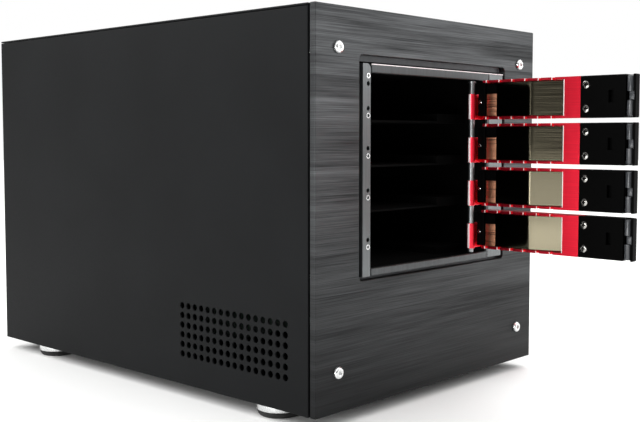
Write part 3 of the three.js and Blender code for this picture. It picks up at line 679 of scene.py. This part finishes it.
def vent_panel_piece(side, sizes):
    """A side panel. Round holes stand in rows and columns, each in its own square cell, and one
    frame joins the block of cells to the panel's edge, which is rounded on the outside."""
    node = f"side_panel_{side}"
    low, high = corners_of(node)
    outside, inside = (low[0], high[0]) if side == "left" else (high[0], low[0])
    pitch, columns, rows = sizes.vent_pitch, sizes.vent_columns, sizes.vent_rows
    start = low[1:] + VENT_START - pitch / 2
    end = start + pitch * np.array([columns, rows])
    cell = plain_outline(0, pitch, 0, pitch, 6, 6)
    corner = np.stack(np.meshgrid(start[0] + pitch * np.arange(columns),
                                  start[1] + pitch * np.arange(rows), indexing="ij"), axis=-1)
    corner = corner.reshape(-1, 1, 2)
    holes = np.concatenate([corner[:, 0] + pitch / 2,
                            np.full((columns * rows, 1), sizes.vent_hole / 2)], axis=1)
    cells = pierced_cells(corner + cell, holes, outside, inside, 0.15 * MM, "x")
    across, up = columns * 6, rows * 6
    edge = sizes.sheet_edge
    into = math.copysign(1, inside - outside)
    block = plain_outline(start[0], end[0], start[1], end[1], across, up)
    outline = lambda inset: plain_outline(low[1] + inset, high[1] - inset, low[2] + inset,
                                          high[2] - inset, across, up)
    quarter = np.radians(np.linspace(90, 0, 4))
    frame_rows = [(block, outside)]
    frame_rows += [(outline(edge * (1 - math.cos(turn))),
                    outside + into * edge * (1 - math.sin(turn))) for turn in quarter]
    frame_rows += [(outline(0), inside), (block, inside)]
    rim = grid_part(carried(frame_rows, "x"), around=True)
    even_faces(make_piece(f"{node}_sheet", joined(cells, rim), "cover", "case",
                                 (node,)))


def foot_pieces(foot):
    """A foot: a turned shell with rounded rims over a tapered rubber pad."""
    low, high = corners_of(f"foot_shell_{foot}")
    x, y = (low[0] + high[0]) / 2, (low[1] + high[1]) / 2
    radius, bottom, top = (high[0] - low[0]) / 2, low[2], high[2]
    rim = arc((radius - 0.9 * MM, bottom + 0.9 * MM), 0.9 * MM, -90, 0, 6)
    crown = arc((radius - 0.5 * MM, top - 0.5 * MM), 0.5 * MM, 0, 90, 5)
    profile = np.vstack([[(0, bottom)], rim, crown, [(0, top)]])
    make_piece(f"foot_shell_{foot}_turned", revolved(profile, (x, y, 0), sides=72), "turned",
               "case", (f"foot_shell_{foot}",))
    low, high = corners_of(f"foot_pad_{foot}")
    radius, top = (high[0] - low[0]) / 2, high[2]
    tread = arc((radius - 2.4 * MM, 1.9 * MM), 1.9 * MM, -90, -20, 6)
    profile = np.vstack([[(0, 0.5 * MM), (radius * 0.45, 0.5 * MM), (radius * 0.5, 0)], tread,
                         [(radius, top - 0.5 * MM), (radius, top), (0, top)]])
    make_piece(f"foot_pad_{foot}_moulded", revolved(profile, (x, y, 0), sides=72), "rubber",
               "case", (f"foot_pad_{foot}",))


def bezel_strip_piece(ring_reach):
    """The cage's left strip, one cell per hole and one corner cut off, and the bright eyelets
    round its lit holes. Points past the cut line slide back to it along its normal."""
    node = "bezel_strip_left"
    low, high = corners_of(node)
    hole_x = high[0] - 2 * MM
    lit = low[2] + np.array([17.4, 46.4, 70.7, 94.2, 117.2]) * MM
    dark = low[2] + np.array([21.6, 50.6, 75.2, 98.4, 112.7]) * MM
    height = np.concatenate([lit, dark])
    order = np.argsort(height)
    height, reach = height[order], np.array([1.5] * 5 + [1.3] * 5)[order] * MM
    between = (height[1:] + height[:-1]) / 2
    bounds = np.concatenate([[low[2]], between, [high[2]]])
    cells = np.stack([plain_outline(low[0], high[0], bottom, top, 6, 6)
                      for bottom, top in zip(bounds[:-1], bounds[1:])])
    past = np.maximum(0, cells[..., 0] - high[0] + cells[..., 1] - high[2] + 2 * MM) / 2
    cells = cells - past[..., None]
    circles = np.stack([np.full(10, hole_x), height, reach], axis=-1)
    part = pierced_cells(cells, circles, low[1], high[1], 0.15 * MM, "y")
    # The outer wall goes under the lowest cell, up the right, over the top and down the left.
    edge = np.vstack([cells[0, :6], cells[:, 6:12].reshape(-1, 2), cells[-1, 12:18],
                      cells[::-1, 18:].reshape(-1, 2)])
    wall = grid_part(carried([(edge, low[1]), (edge, high[1])], "y"), around=True)
    even_faces(make_piece("bezel_strip_pierced", joined(part, wall), "bezel", "case",
                          (node,)))
    eyelets = []
    for centre in lit:
        profile = [(1.0 * MM, -0.8 * MM), (1.0 * MM, 0.05 * MM), (1.12 * MM, 0.2 * MM),
                   (ring_reach - 0.15 * MM, 0.2 * MM), (ring_reach, 0.08 * MM),
                   (ring_reach, 0.02 * MM), (1.4 * MM, 0.02 * MM), (1.4 * MM, -0.8 * MM),
                   (1.0 * MM, -0.8 * MM)]
        eyelets.append(revolved(profile, (hole_x, low[1], centre), "-y", 24))
    make_piece("bezel_light_rings", joined(*eyelets), "turned", "case")


def hinge_pin_piece():
    """The hinge pin: a round rod whose ends are rounded by quarter circles, with a washer pressed
    on under its top."""
    low, high = corners_of("hinge_pin")
    radius = (high[0] - low[0]) / 2
    round_end = 0.7 * MM
    foot = arc((radius - round_end, low[2] + round_end), round_end, -90, 0, 5)
    head = arc((radius - round_end, high[2] - round_end), round_end, 0, 90, 5)
    profile = np.vstack([[(0, low[2])], foot, head, [(0, high[2])]])
    centre = ((low[0] + high[0]) / 2, (low[1] + high[1]) / 2, 0)
    wide, top = radius + 0.7 * MM, high[2] - 0.5 * MM
    washer = [(radius - 0.1 * MM, top - MM), (wide, top - MM), (wide, top),
              (radius - 0.1 * MM, top), (radius - 0.1 * MM, top - MM)]
    rod = joined(revolved(profile, centre, sides=40), revolved(washer, centre, sides=40))
    make_piece("hinge_pin_rod", rod, "drawn", "case", ("hinge_pin",))


def phillips_screw(centre, reach, axis="-x"):
    """A small pan-head screw with a cross recess. The height over the disc is a flat dome, less
    the recess depth wherever a point lies within half an arm's width of either centre line and
    inside the arms' reach, eased over a third of a width."""
    angle = np.linspace(0, 2 * np.pi, 64, endpoint=False)
    ring = np.linspace(0, 1, 16)[:, None]
    x, y = ring * reach * np.cos(angle), ring * reach * np.sin(angle)
    narrow = np.minimum(np.abs(x), np.abs(y)) / (0.17 * reach)
    far = ring / 0.62 + 0 * x
    inside = np.clip((1 - narrow) * 3, 0, 1) * np.clip((1 - far) * 6, 0, 1)
    height = 0.5 * MM * (1 - 0.35 * ring ** 3) - 0.75 * MM * inside
    top = np.stack([x, y, height], axis=-1)
    rim = np.stack([x[-1], y[-1], np.full(64, -0.1 * MM)], axis=-1)[None]
    base = np.stack([0 * x[-1], 0 * y[-1], np.full(64, -0.1 * MM)], axis=-1)[None]
    points = np.concatenate([top, rim, base])
    return grid_part(toward(points, axis) + np.array(centre), around=True)


def spring_plate_part(low, high, pocket):
    """The spring plate, a thin leaf. Along the door it lies flat for half of its length, then
    its slope eases up to a steady fall into the channel and eases off again at its end."""
    along = np.linspace(0, 1, 60)
    slope = np.interp(along, [0, 0.5, 0.58, 1], [0, 0, 0.27, 0.24])
    length_y = high[1] - low[1]
    drop = np.concatenate([[0], np.cumsum((slope[1:] + slope[:-1]) / 2 * np.diff(along))])
    drop = np.minimum(drop * length_y, pocket)
    across = np.linspace(low[2], high[2], 7)
    y = high[1] - along * length_y
    thick = 0.5 * MM
    upper = np.stack(np.broadcast_arrays((low[0] + drop)[:, None], y[:, None], across), axis=-1)
    lower = upper + np.array([thick, 0, 0])
    return grid_part(np.concatenate([upper, lower[:, ::-1]], axis=1), around=True)


def tongue_part(low, high):
    """The bronze tongue: a strip bowed outwards by half a wave of its width."""
    across = np.linspace(0, 1, 17)
    bow = 0.35 * MM * np.sin(np.pi * across)
    y = low[1] + across * (high[1] - low[1])
    z = np.linspace(low[2], high[2], 5)
    face = np.stack(np.broadcast_arrays((low[0] + 0.4 * MM - bow)[:, None], y[:, None], z), -1)
    behind = (face + np.array([0.5 * MM, 0, 0]))[:, ::-1]
    return grid_part(np.concatenate([face, behind], axis=1), around=True)


def latch_part(low, high, middle):
    """The latch: a bar with a half-round nose, drawn in near its two ends and cut back across
    the middle, and a square tab that reaches to the door's end."""
    radius = LATCH_RADIUS
    nose = low[0] + radius
    centre_y = high[1] - radius
    outline = np.vstack([[(high[0], radius)], arc((nose, 0), radius, 90, 270, 13),
                         [(high[0], -radius)]])
    cut = LATCH_CUT
    z = np.array([0, 0.15, 0.5, 1.0]) * MM
    shrink = np.array([0.72, 0.86, 0.96, 1])
    step = np.array([middle - cut, middle - cut + 0.05 * MM, middle + cut - 0.05 * MM,
                     middle + cut])
    heights = np.concatenate([low[2] + z, step, (high[2] - z)[::-1]])
    scale = np.concatenate([shrink, np.ones(4), shrink[::-1]])[:, None]
    x = high[0] - (high[0] - outline[:, 0]) * scale
    x[5:7] = np.maximum(x[5:7], high[0] - 0.1 * MM)
    y = centre_y + outline[:, 1] * scale
    section = np.stack([x, y, heights[:, None] + 0 * x], axis=-1)
    bar = grid_part(section, around=True)
    tab = rounded_block((low[0] + 0.3 * MM, low[1], middle - 2.3 * MM),
                        (high[0] - 0.2 * MM, centre_y - 0.1 * MM, middle + 2.3 * MM), 0.3 * MM)
    return joined(bar, tab)


def drawn_in(outline, amount):
    """A closed outline moved inwards by an amount: each corner goes along the sum of the normals
    of its two sides, divided by one more than their dot product."""
    along = np.roll(outline, -1, axis=-2) - outline
    along /= np.linalg.norm(along, axis=-1, keepdims=True)
    normal = np.stack([-along[..., 1], along[..., 0]], axis=-1)
    before = np.roll(normal, 1, axis=-2)
    meet = 1 + (normal * before).sum(axis=-1, keepdims=True)
    return outline + amount * (normal + before) / meet


def end_piece_part(low, high, latch_y):
    """A door's black end. Its outline in x and y, with two round corners and the latch's groove,
    is carried up z and drawn in near the two ends by a quarter circle. Between two heights the
    outline steps in for the shallow slot, and between two others it opens the groove to the
    free end for the tab."""
    middle, edge, sliver = (low[2] + high[2]) / 2, 0.4 * MM, 0.02 * MM
    face, back, free, root = low[0], high[0], low[1], high[1]
    groove, floor = 2.3 * MM, low[0] + GROOVE_DEPTH
    slot_a, slot_b = root - 18.2 * MM, root - 21.3 * MM
    tab_end = free + 0.6 * MM
    quarter = np.radians(np.linspace(0, 90, 5))
    up, into = edge * (1 - np.cos(quarter)), edge * (1 - np.sin(quarter))
    heights = np.concatenate([
        low[2] + up,
        middle + np.array([-SLOT_HALF, -SLOT_HALF + sliver, -LATCH_CUT, -LATCH_CUT + sliver,
                           LATCH_CUT - sliver, LATCH_CUT, SLOT_HALF - sliver, SLOT_HALF]),
        high[2] - up[::-1]])
    inset = np.concatenate([into, np.zeros(8), into[::-1]])
    slot_depth = np.zeros(len(heights))
    slot_depth[6:12] = SLOT_DEPTH
    tab_depth = np.zeros(len(heights))
    tab_depth[8:10] = GROOVE_DEPTH
    inner = arc((face + 0.5 * MM, free + 0.5 * MM), 0.5 * MM, 180, 270, 6)
    outer = arc((back - 7 * MM, free + 7 * MM), 7 * MM, 270, 360, 12)

    def section(slot, tab):
        points = np.array([
            (face, root), (face, slot_a + sliver), (face + slot + sliver / 2, slot_a),
            (face + slot + sliver / 2, slot_b), (face, slot_b - sliver),
            (face, latch_y + groove + sliver), (floor, latch_y + groove),
            (floor, latch_y - groove), (face + tab, latch_y - groove - sliver),
            (face + tab, tab_end + sliver), (face, tab_end)])
        return np.vstack([points, inner[1:], outer, [(back, root)]])

    outlines = np.stack([section(slot, tab) for slot, tab in zip(slot_depth, tab_depth)])
    drawn = np.stack([drawn_in(outline, amount) for outline, amount in zip(outlines, inset)])
    height = np.broadcast_to(heights[:, None, None], (*drawn.shape[:2], 1))
    return grid_part(np.concatenate([drawn, height], axis=-1), around=True)


def painted_highlight_edges_part(face, pin, bottom, top):
    """Pale strips that paint the highlights of a red channel: a line down the left side of the
    barrel, one wall of each of its notches, and the near edge of the land."""
    rim = 1.6 * MM
    parts = []
    for notch in range(NOTCHES):
        wall = pin[1] - (FIRST_NOTCH + NOTCH_PITCH * notch)
        for low in (bottom, top - rim):
            parts.append(rounded_block((face, wall - 0.2 * MM, low), (face + MM, wall, low + rim),
                                       0.05 * MM, 2))
    land = pin[1] - LAND_START
    parts.append(rounded_block((face - 0.05 * MM, land - 0.45 * MM, bottom + rim),
                               (face + 0.5 * MM, land + 0.1 * MM, top - rim), 0.05 * MM, 2))
    line = np.vstack([arc(pin[:2], 2.75 * MM, 168, 196, 7), arc(pin[:2], 2.3 * MM, 196, 168, 7)])
    height = np.array([bottom + 0.2 * MM, bottom + 0.65 * (top - bottom) - 0.2 * MM])
    band = np.stack(np.broadcast_arrays(line[:, 0], line[:, 1], height[:, None]), axis=-1)
    parts.append(grid_part(band, around=True))
    return joined(*parts)


def door_pieces(bay):
    """One door: red channel with pale strips of painted highlight, spring plate and tongue, black
    end with two screws, and latch."""
    body = f"door_{bay}"
    rounded_copy(f"{body}_channel", "red", body, 0.15 * MM, "door_4_channel")
    low, high = corners_of(f"{body}_plate")
    plate_low = np.array([low[0] + 0.5 * MM, low[1] + 0.6 * MM, low[2]])
    plate_high = np.array([high[0], high[1] - TONGUE_WIDTH, high[2]])
    make_piece(f"{body}_spring_plate", spring_plate_part(plate_low, plate_high, SPRING_DEPTH),
               "spring", body, (f"{body}_plate",))
    tongue_high = np.array([high[0], high[1], low[2] + TONGUE_HEIGHT])
    tongue_low = np.array([low[0], high[1] - TONGUE_WIDTH, low[2]])
    make_piece(f"{body}_tongue", tongue_part(tongue_low, tongue_high), "tongue", body)
    # A black block fills the channel behind the tongue and steps out beside the barrel.
    back = rounded_block((low[0] + 1.6 * MM, high[1] - 8 * MM, low[2]),
                         (low[0] + 6 * MM, high[1] + 1.5 * MM, high[2]), 0.3 * MM)
    step_low = (low[0] - 0.8 * MM, high[1] + 0.7 * MM, low[2])
    step = rounded_block(step_low, (low[0] + 8 * MM, high[1] + 6 * MM, high[2]), 0.3 * MM)
    even_faces(make_piece(f"{body}_hinge_block", joined(back, step), "black plastic", body))
    middle = (low[2] + high[2]) / 2
    pivot = phillips_screw((step_low[0], high[1] + 4.2 * MM, middle - 1.5 * MM), 1.1 * MM)
    make_piece(f"{body}_hinge_screw", pivot, "dark screw", body)

    low, high = corners_of(f"{body}_end")
    # Pale strips paint the highlights on the barrel, the notch walls and the land's edge.
    edges = painted_highlight_edges_part(low[0], sum(corners_of("hinge_pin")) / 2, low[2], high[2])
    make_piece(f"{body}_painted_highlight_edges", edges, "cut", body)
    latch_low, latch_high = corners_of(f"{body}_latch")
    latch_y = latch_high[1] - LATCH_RADIUS
    even_faces(make_piece(f"{body}_end_moulding", end_piece_part(low, high, latch_y),
                          "black plastic", body, (f"{body}_end",)))
    screws = [phillips_screw((low[0], high[1] - 3.3 * MM, middle + offset * 7.3 * MM), 2.3 * MM)
              for offset in (-1, 1)]
    make_piece(f"{body}_end_screws", joined(*screws), "dark screw", body)
    make_piece(f"{body}_latch_bar", latch_part(latch_low, latch_high, middle), "grey plastic",
               f"latch_{bay}", (f"{body}_latch",))


def fan_rotor_part(low, high, blades=7):
    """The fan's rotor: a domed hub turned about its axis, and blades that twist. A blade is a
    grid of reach by chord whose pitch falls and whose chord sweeps as it goes out, with the
    thickness of a thin wing: full at a third of the chord and sharp at its two edges."""
    centre = (low + high) / 2
    reach, hub = (high[0] - low[0]) / 2 - 0.4 * MM, 16 * MM
    depth = high[1] - low[1]
    round_rim = arc((hub - 1.5 * MM, depth / 2 - 2 * MM), 1.5 * MM, 0, 90, 6)
    profile = np.vstack([[(0, -depth / 2 + MM), (hub, -depth / 2 + MM)], round_rim,
                         [(0, depth / 2 - 0.4 * MM)]])
    parts = [revolved(profile, centre, "y", 64)]
    out = np.linspace(0, 1, 14)[:, None]
    chord = np.linspace(-1, 1, 13)
    side = np.concatenate([chord, chord[::-1][1:-1]])
    half = np.concatenate([np.ones(13), -np.ones(11)])
    radius = hub - 1.5 * MM + out * (reach - hub + 1.5 * MM)
    pitch = np.radians(52 - 22 * out)
    wide = (8 + 4 * out) * MM
    thick = 0.55 * MM * np.sqrt(np.clip(1 - side ** 2, 0, 1)) * half
    axial = side * wide * np.sin(pitch) * 0.85 + thick * np.cos(pitch)
    sweep = (side * wide * np.cos(pitch) - thick * np.sin(pitch)) / radius + 0.35 * out
    for blade in range(blades):
        angle = sweep + blade * 2 * np.pi / blades
        points = np.stack([centre[0] + radius * np.cos(angle),
                           centre[1] + axial,
                           centre[2] + radius * np.sin(angle)], axis=-1)
        parts.append(grid_part(points, around=True))
    return joined(*parts)


def dressed(node, look):
    """Keep the node's own solid and give it a finish. Its mesh is left as it is."""
    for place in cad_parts[node].material_slots:
        place.material = finish(look)


# ---------------------------------------------------------------- operators

class STORAGE_OT_front_panel(bpy.types.Operator):
    """Make the brushed front panel and its four screws"""
    bl_idname = "storage.front_panel"
    bl_label = "Front panel"

    def execute(self, context):
        front_panel_piece(context.scene.storage_sizes.panel_edge)
        for corner in CORNERS:
            panel_screw_piece(corner)
        return {"FINISHED"}


class STORAGE_OT_cover(bpy.types.Operator):
    """Make the coated side panels with their vents, and the top panel"""
    bl_idname = "storage.cover"
    bl_label = "Cover"

    def execute(self, context):
        sizes = context.scene.storage_sizes
        for side in ("left", "right"):
            vent_panel_piece(side, sizes)
        block_piece("top_panel", "cover", sizes.sheet_edge)
        dressed("sub_front", "seam")
        dressed("base_tray", "inside")
        return {"FINISHED"}


class STORAGE_OT_feet(bpy.types.Operator):
    """Make the four feet, each a bright shell on a rubber pad"""
    bl_idname = "storage.feet"
    bl_label = "Feet"

    def execute(self, context):
        for foot in FEET:
            foot_pieces(foot)
        return {"FINISHED"}


class STORAGE_OT_bezel(bpy.types.Operator):
    """Make the grey face of the cage: pierced strip, bars, column, light pipe and hinge pin"""
    bl_idname = "storage.bezel"
    bl_label = "Cage face"

    def execute(self, context):
        bezel_strip_piece(context.scene.storage_sizes.ring_diameter / 2)
        for node in ("bezel_bar_top", "bezel_bar_bottom"):
            block_piece(node, "bar", 0.6 * MM)
        block_piece("bezel_column_right", "bezel", 0.9 * MM)
        # A pale strip along the top bar's upper front edge paints the highlight of its bevel.
        low, high = corners_of("bezel_bar_top")
        right = corners_of("bezel_column_right")[1][0]
        bevel = rounded_block((low[0], low[1] - 0.05 * MM, high[2] - 0.55 * MM),
                              (right, low[1] + 0.4 * MM, high[2] + 0.05 * MM), 0.15 * MM)
        make_piece("bezel_top_painted_highlight", bevel, "cut", "case")
        dressed("light_pipe", "acrylic")
        hinge_pin_piece()
        return {"FINISHED"}


class STORAGE_OT_cage(bpy.types.Operator):
    """Make the drive cage's walls and shelves and the board of drive connectors"""
    bl_idname = "storage.cage"
    bl_label = "Drive cage"

    def execute(self, context):
        for node in ("cage_side_left", "cage_side_right", "cage_top"):
            block_piece(node, "inside", 0.3 * MM)
        for node in ("cage_bottom", "bay_divider_1", "bay_divider_2", "bay_divider_3"):
            rounded_copy(node, "inside", "case", 0.2 * MM)
        dressed("backplane", "board")
        return {"FINISHED"}


class STORAGE_OT_doors(bpy.types.Operator):
    """Make the four bay doors with their spring plates, end pieces and latches"""
    bl_idname = "storage.doors"
    bl_label = "Doors"

    def execute(self, context):
        for bay in BAYS:
            door_pieces(bay)
        return {"FINISHED"}


class STORAGE_OT_rear(bpy.types.Operator):
    """Make the rear panel, its socket shield, slot cover and sockets"""
    bl_idname = "storage.rear"
    bl_label = "Rear"

    def execute(self, context):
        dressed("rear_panel", "cover")
        for node in ("io_shield", "lan_ports", "usb_ports"):
            dressed(node, "zinc")
        block_piece("slot_cover", "zinc", 0.3 * MM)
        return {"FINISHED"}


class STORAGE_OT_power(bpy.types.Operator):
    """Make the power supply with its inlet and rocker switch"""
    bl_idname = "storage.power"
    bl_label = "Power"

    def execute(self, context):
        rounded_copy("power_supply", "cover", "case", 0.4 * MM)
        rounded_copy("power_inlet", "black plastic", "case", 0.3 * MM)
        rounded_copy("power_rocker", "black plastic", "rocker", 0.4 * MM)
        return {"FINISHED"}


class STORAGE_OT_board(bpy.types.Operator):
    """Finish the main board and the processor cooler"""
    bl_idname = "storage.board"
    bl_label = "Main board"

    def execute(self, context):
        dressed("motherboard", "board")
        rounded_copy("cpu_cooler", "bezel", "case", 0.2 * MM)
        return {"FINISHED"}


class STORAGE_OT_fan(bpy.types.Operator):
    """Make the rear fan: a moulded frame and a rotor with twisted blades"""
    bl_idname = "storage.fan"
    bl_label = "Fan"

    def execute(self, context):
        rounded_copy("fan_frame", "black plastic", "case", 0.4 * MM)
        low, high = corners_of("fan_rotor")
        make_piece("fan_rotor_blades", fan_rotor_part(low, high), "black plastic", "rotor",
                   ("fan_rotor",))
        return {"FINISHED"}


def area_light(name, place, aim, size, power):
    """A rectangular softbox at a place, facing a point."""
    light = bpy.data.lights.new(name, "AREA")
    light.shape = "RECTANGLE"
    light.size, light.size_y = size
    light.energy = power
    lamp = bpy.data.objects.new(name, light)
    bpy.context.scene.collection.objects.link(lamp)
    lamp.location = place
    lamp.rotation_euler = (Vector(aim) - Vector(place)).to_track_quat("-Z", "Y").to_euler()
    lamp.visible_camera = False


class STORAGE_OT_studio(bpy.types.Operator):
    """Make the pale floor, the soft lights, the dim surround and the camera"""
    bl_idname = "storage.studio"
    bl_label = "Studio"

    def execute(self, context):
        studio = context.scene.storage_studio
        steps = np.linspace(-6, 6, 9)
        ground = np.stack(np.broadcast_arrays(steps[:, None], steps, 0.0), axis=-1)
        vertices, faces = grid_part(ground)
        mesh = bpy.data.meshes.new("studio_floor")
        mesh.from_pydata(vertices.tolist(), [], faces[:, ::-1].tolist())
        floor = bpy.data.objects.new("studio_floor", mesh)
        context.scene.collection.objects.link(floor)
        mesh.materials.append(finish("floor"))

        world = bpy.data.worlds.new("studio surround")
        context.scene.world = world
        world.use_nodes = True
        tree = world.node_tree
        tree.nodes.clear()
        where = add_node(tree, "ShaderNodeTexCoord").outputs["Generated"]
        height = add_node(tree, "ShaderNodeSeparateXYZ", {"Vector": where}).outputs["Z"]
        # Dim round the horizon and bright overhead, like a room with a large overhead diffuser.
        glow = add_node(tree, "ShaderNodeValToRGB", {"Fac": height})
        glow.color_ramp.elements[0].position = 0.2
        glow.color_ramp.elements[0].color = (*3 * [studio.surround],) + (1,)
        glow.color_ramp.elements[1].position = 0.65
        glow.color_ramp.elements[1].color = (1, 1, 1, 1)
        dim = add_node(tree, "ShaderNodeBackground", {"Color": glow.outputs[0],
                                                      "Strength": studio.overhead})
        white = add_node(tree, "ShaderNodeBackground", {"Color": (1, 1, 1, 1), "Strength": 1})
        seen = add_node(tree, "ShaderNodeLightPath").outputs["Is Camera Ray"]
        both = add_node(tree, "ShaderNodeMixShader", {0: seen, 1: dim.outputs[0],
                                                      2: white.outputs[0]})
        add_node(tree, "ShaderNodeOutputWorld", {"Surface": both.outputs[0]})

        area_light("panel softbox", (1.2, -1.25, 0.4), (0, -0.1, 0.15), (0.8, 0.75),
                   studio.side_power)
        area_light("rear softbox", (-1.5, 1.6, 1.05), (-0.1, 0.15, 0.12), (1.0, 0.8),
                   studio.rear_power)
        area_light("door softbox", (-1.2, 0.22, 0.07), (0.05, -0.18, 0.13), (0.18, 0.1),
                   studio.door_power)
        area_light("hinge softbox", (-1.2, -0.31, 0.2), (0.04, -0.11, 0.14), (0.1, 0.4),
                   studio.hinge_power)
        area_light("edge softbox", (1.0, 0.1, 1.3), (0, -0.1, 0.2), (0.4, 0.8),
                   studio.edge_power)

        camera = bpy.data.cameras.new("camera")
        camera.lens = studio.lens
        camera.sensor_width = 36
        camera.shift_y = studio.shift
        camera.clip_start = 0.01
        eye = bpy.data.objects.new("camera", camera)
        context.scene.collection.objects.link(eye)
        eye.location = studio.camera_place
        eye.rotation_euler = (math.radians(90) + studio.camera_pitch, 0, studio.camera_yaw)
        context.scene.camera = eye
        context.scene.view_settings.view_transform = "Standard"
        return {"FINISHED"}


OPERATORS = (
    STORAGE_OT_front_panel, STORAGE_OT_cover, STORAGE_OT_feet, STORAGE_OT_bezel,
    STORAGE_OT_cage, STORAGE_OT_doors, STORAGE_OT_rear, STORAGE_OT_power, STORAGE_OT_board,
    STORAGE_OT_fan, STORAGE_OT_studio,
)


class STORAGE_PT_panel(bpy.types.Panel):
    """Lists the pieces of the storage box and their settings"""
    bl_idname = "STORAGE_PT_panel"
    bl_label = "Storage Box"
    bl_space_type = "VIEW_3D"
    bl_region_type = "UI"
    bl_category = "Storage Box"

    def draw(self, context):
        for operator in OPERATORS:
            self.layout.operator(operator.bl_idname)
        for group in (context.scene.storage_sizes, context.scene.storage_colours,
                      context.scene.storage_studio):
            for name in group.__annotations__:
                self.layout.prop(group, name)


GROUPS = {"storage_sizes": StorageBoxSizes, "storage_colours": StorageBoxColours,
          "storage_studio": StorageBoxStudio}


def register():
    for group in (*GROUPS.values(), *OPERATORS, STORAGE_PT_panel):
        bpy.utils.register_class(group)
    for name, group in GROUPS.items():
        setattr(bpy.types.Scene, name, PointerProperty(type=group))


def unregister():
    for name in GROUPS:
        delattr(bpy.types.Scene, name)
    for group in reversed((*GROUPS.values(), *OPERATORS, STORAGE_PT_panel)):
        bpy.utils.unregister_class(group)


def main():
    """Make every piece in order."""
    register()
    for operator in OPERATORS:
        getattr(bpy.ops.storage, operator.bl_idname.split(".")[1])()


if __name__ == "__main__":
    main()
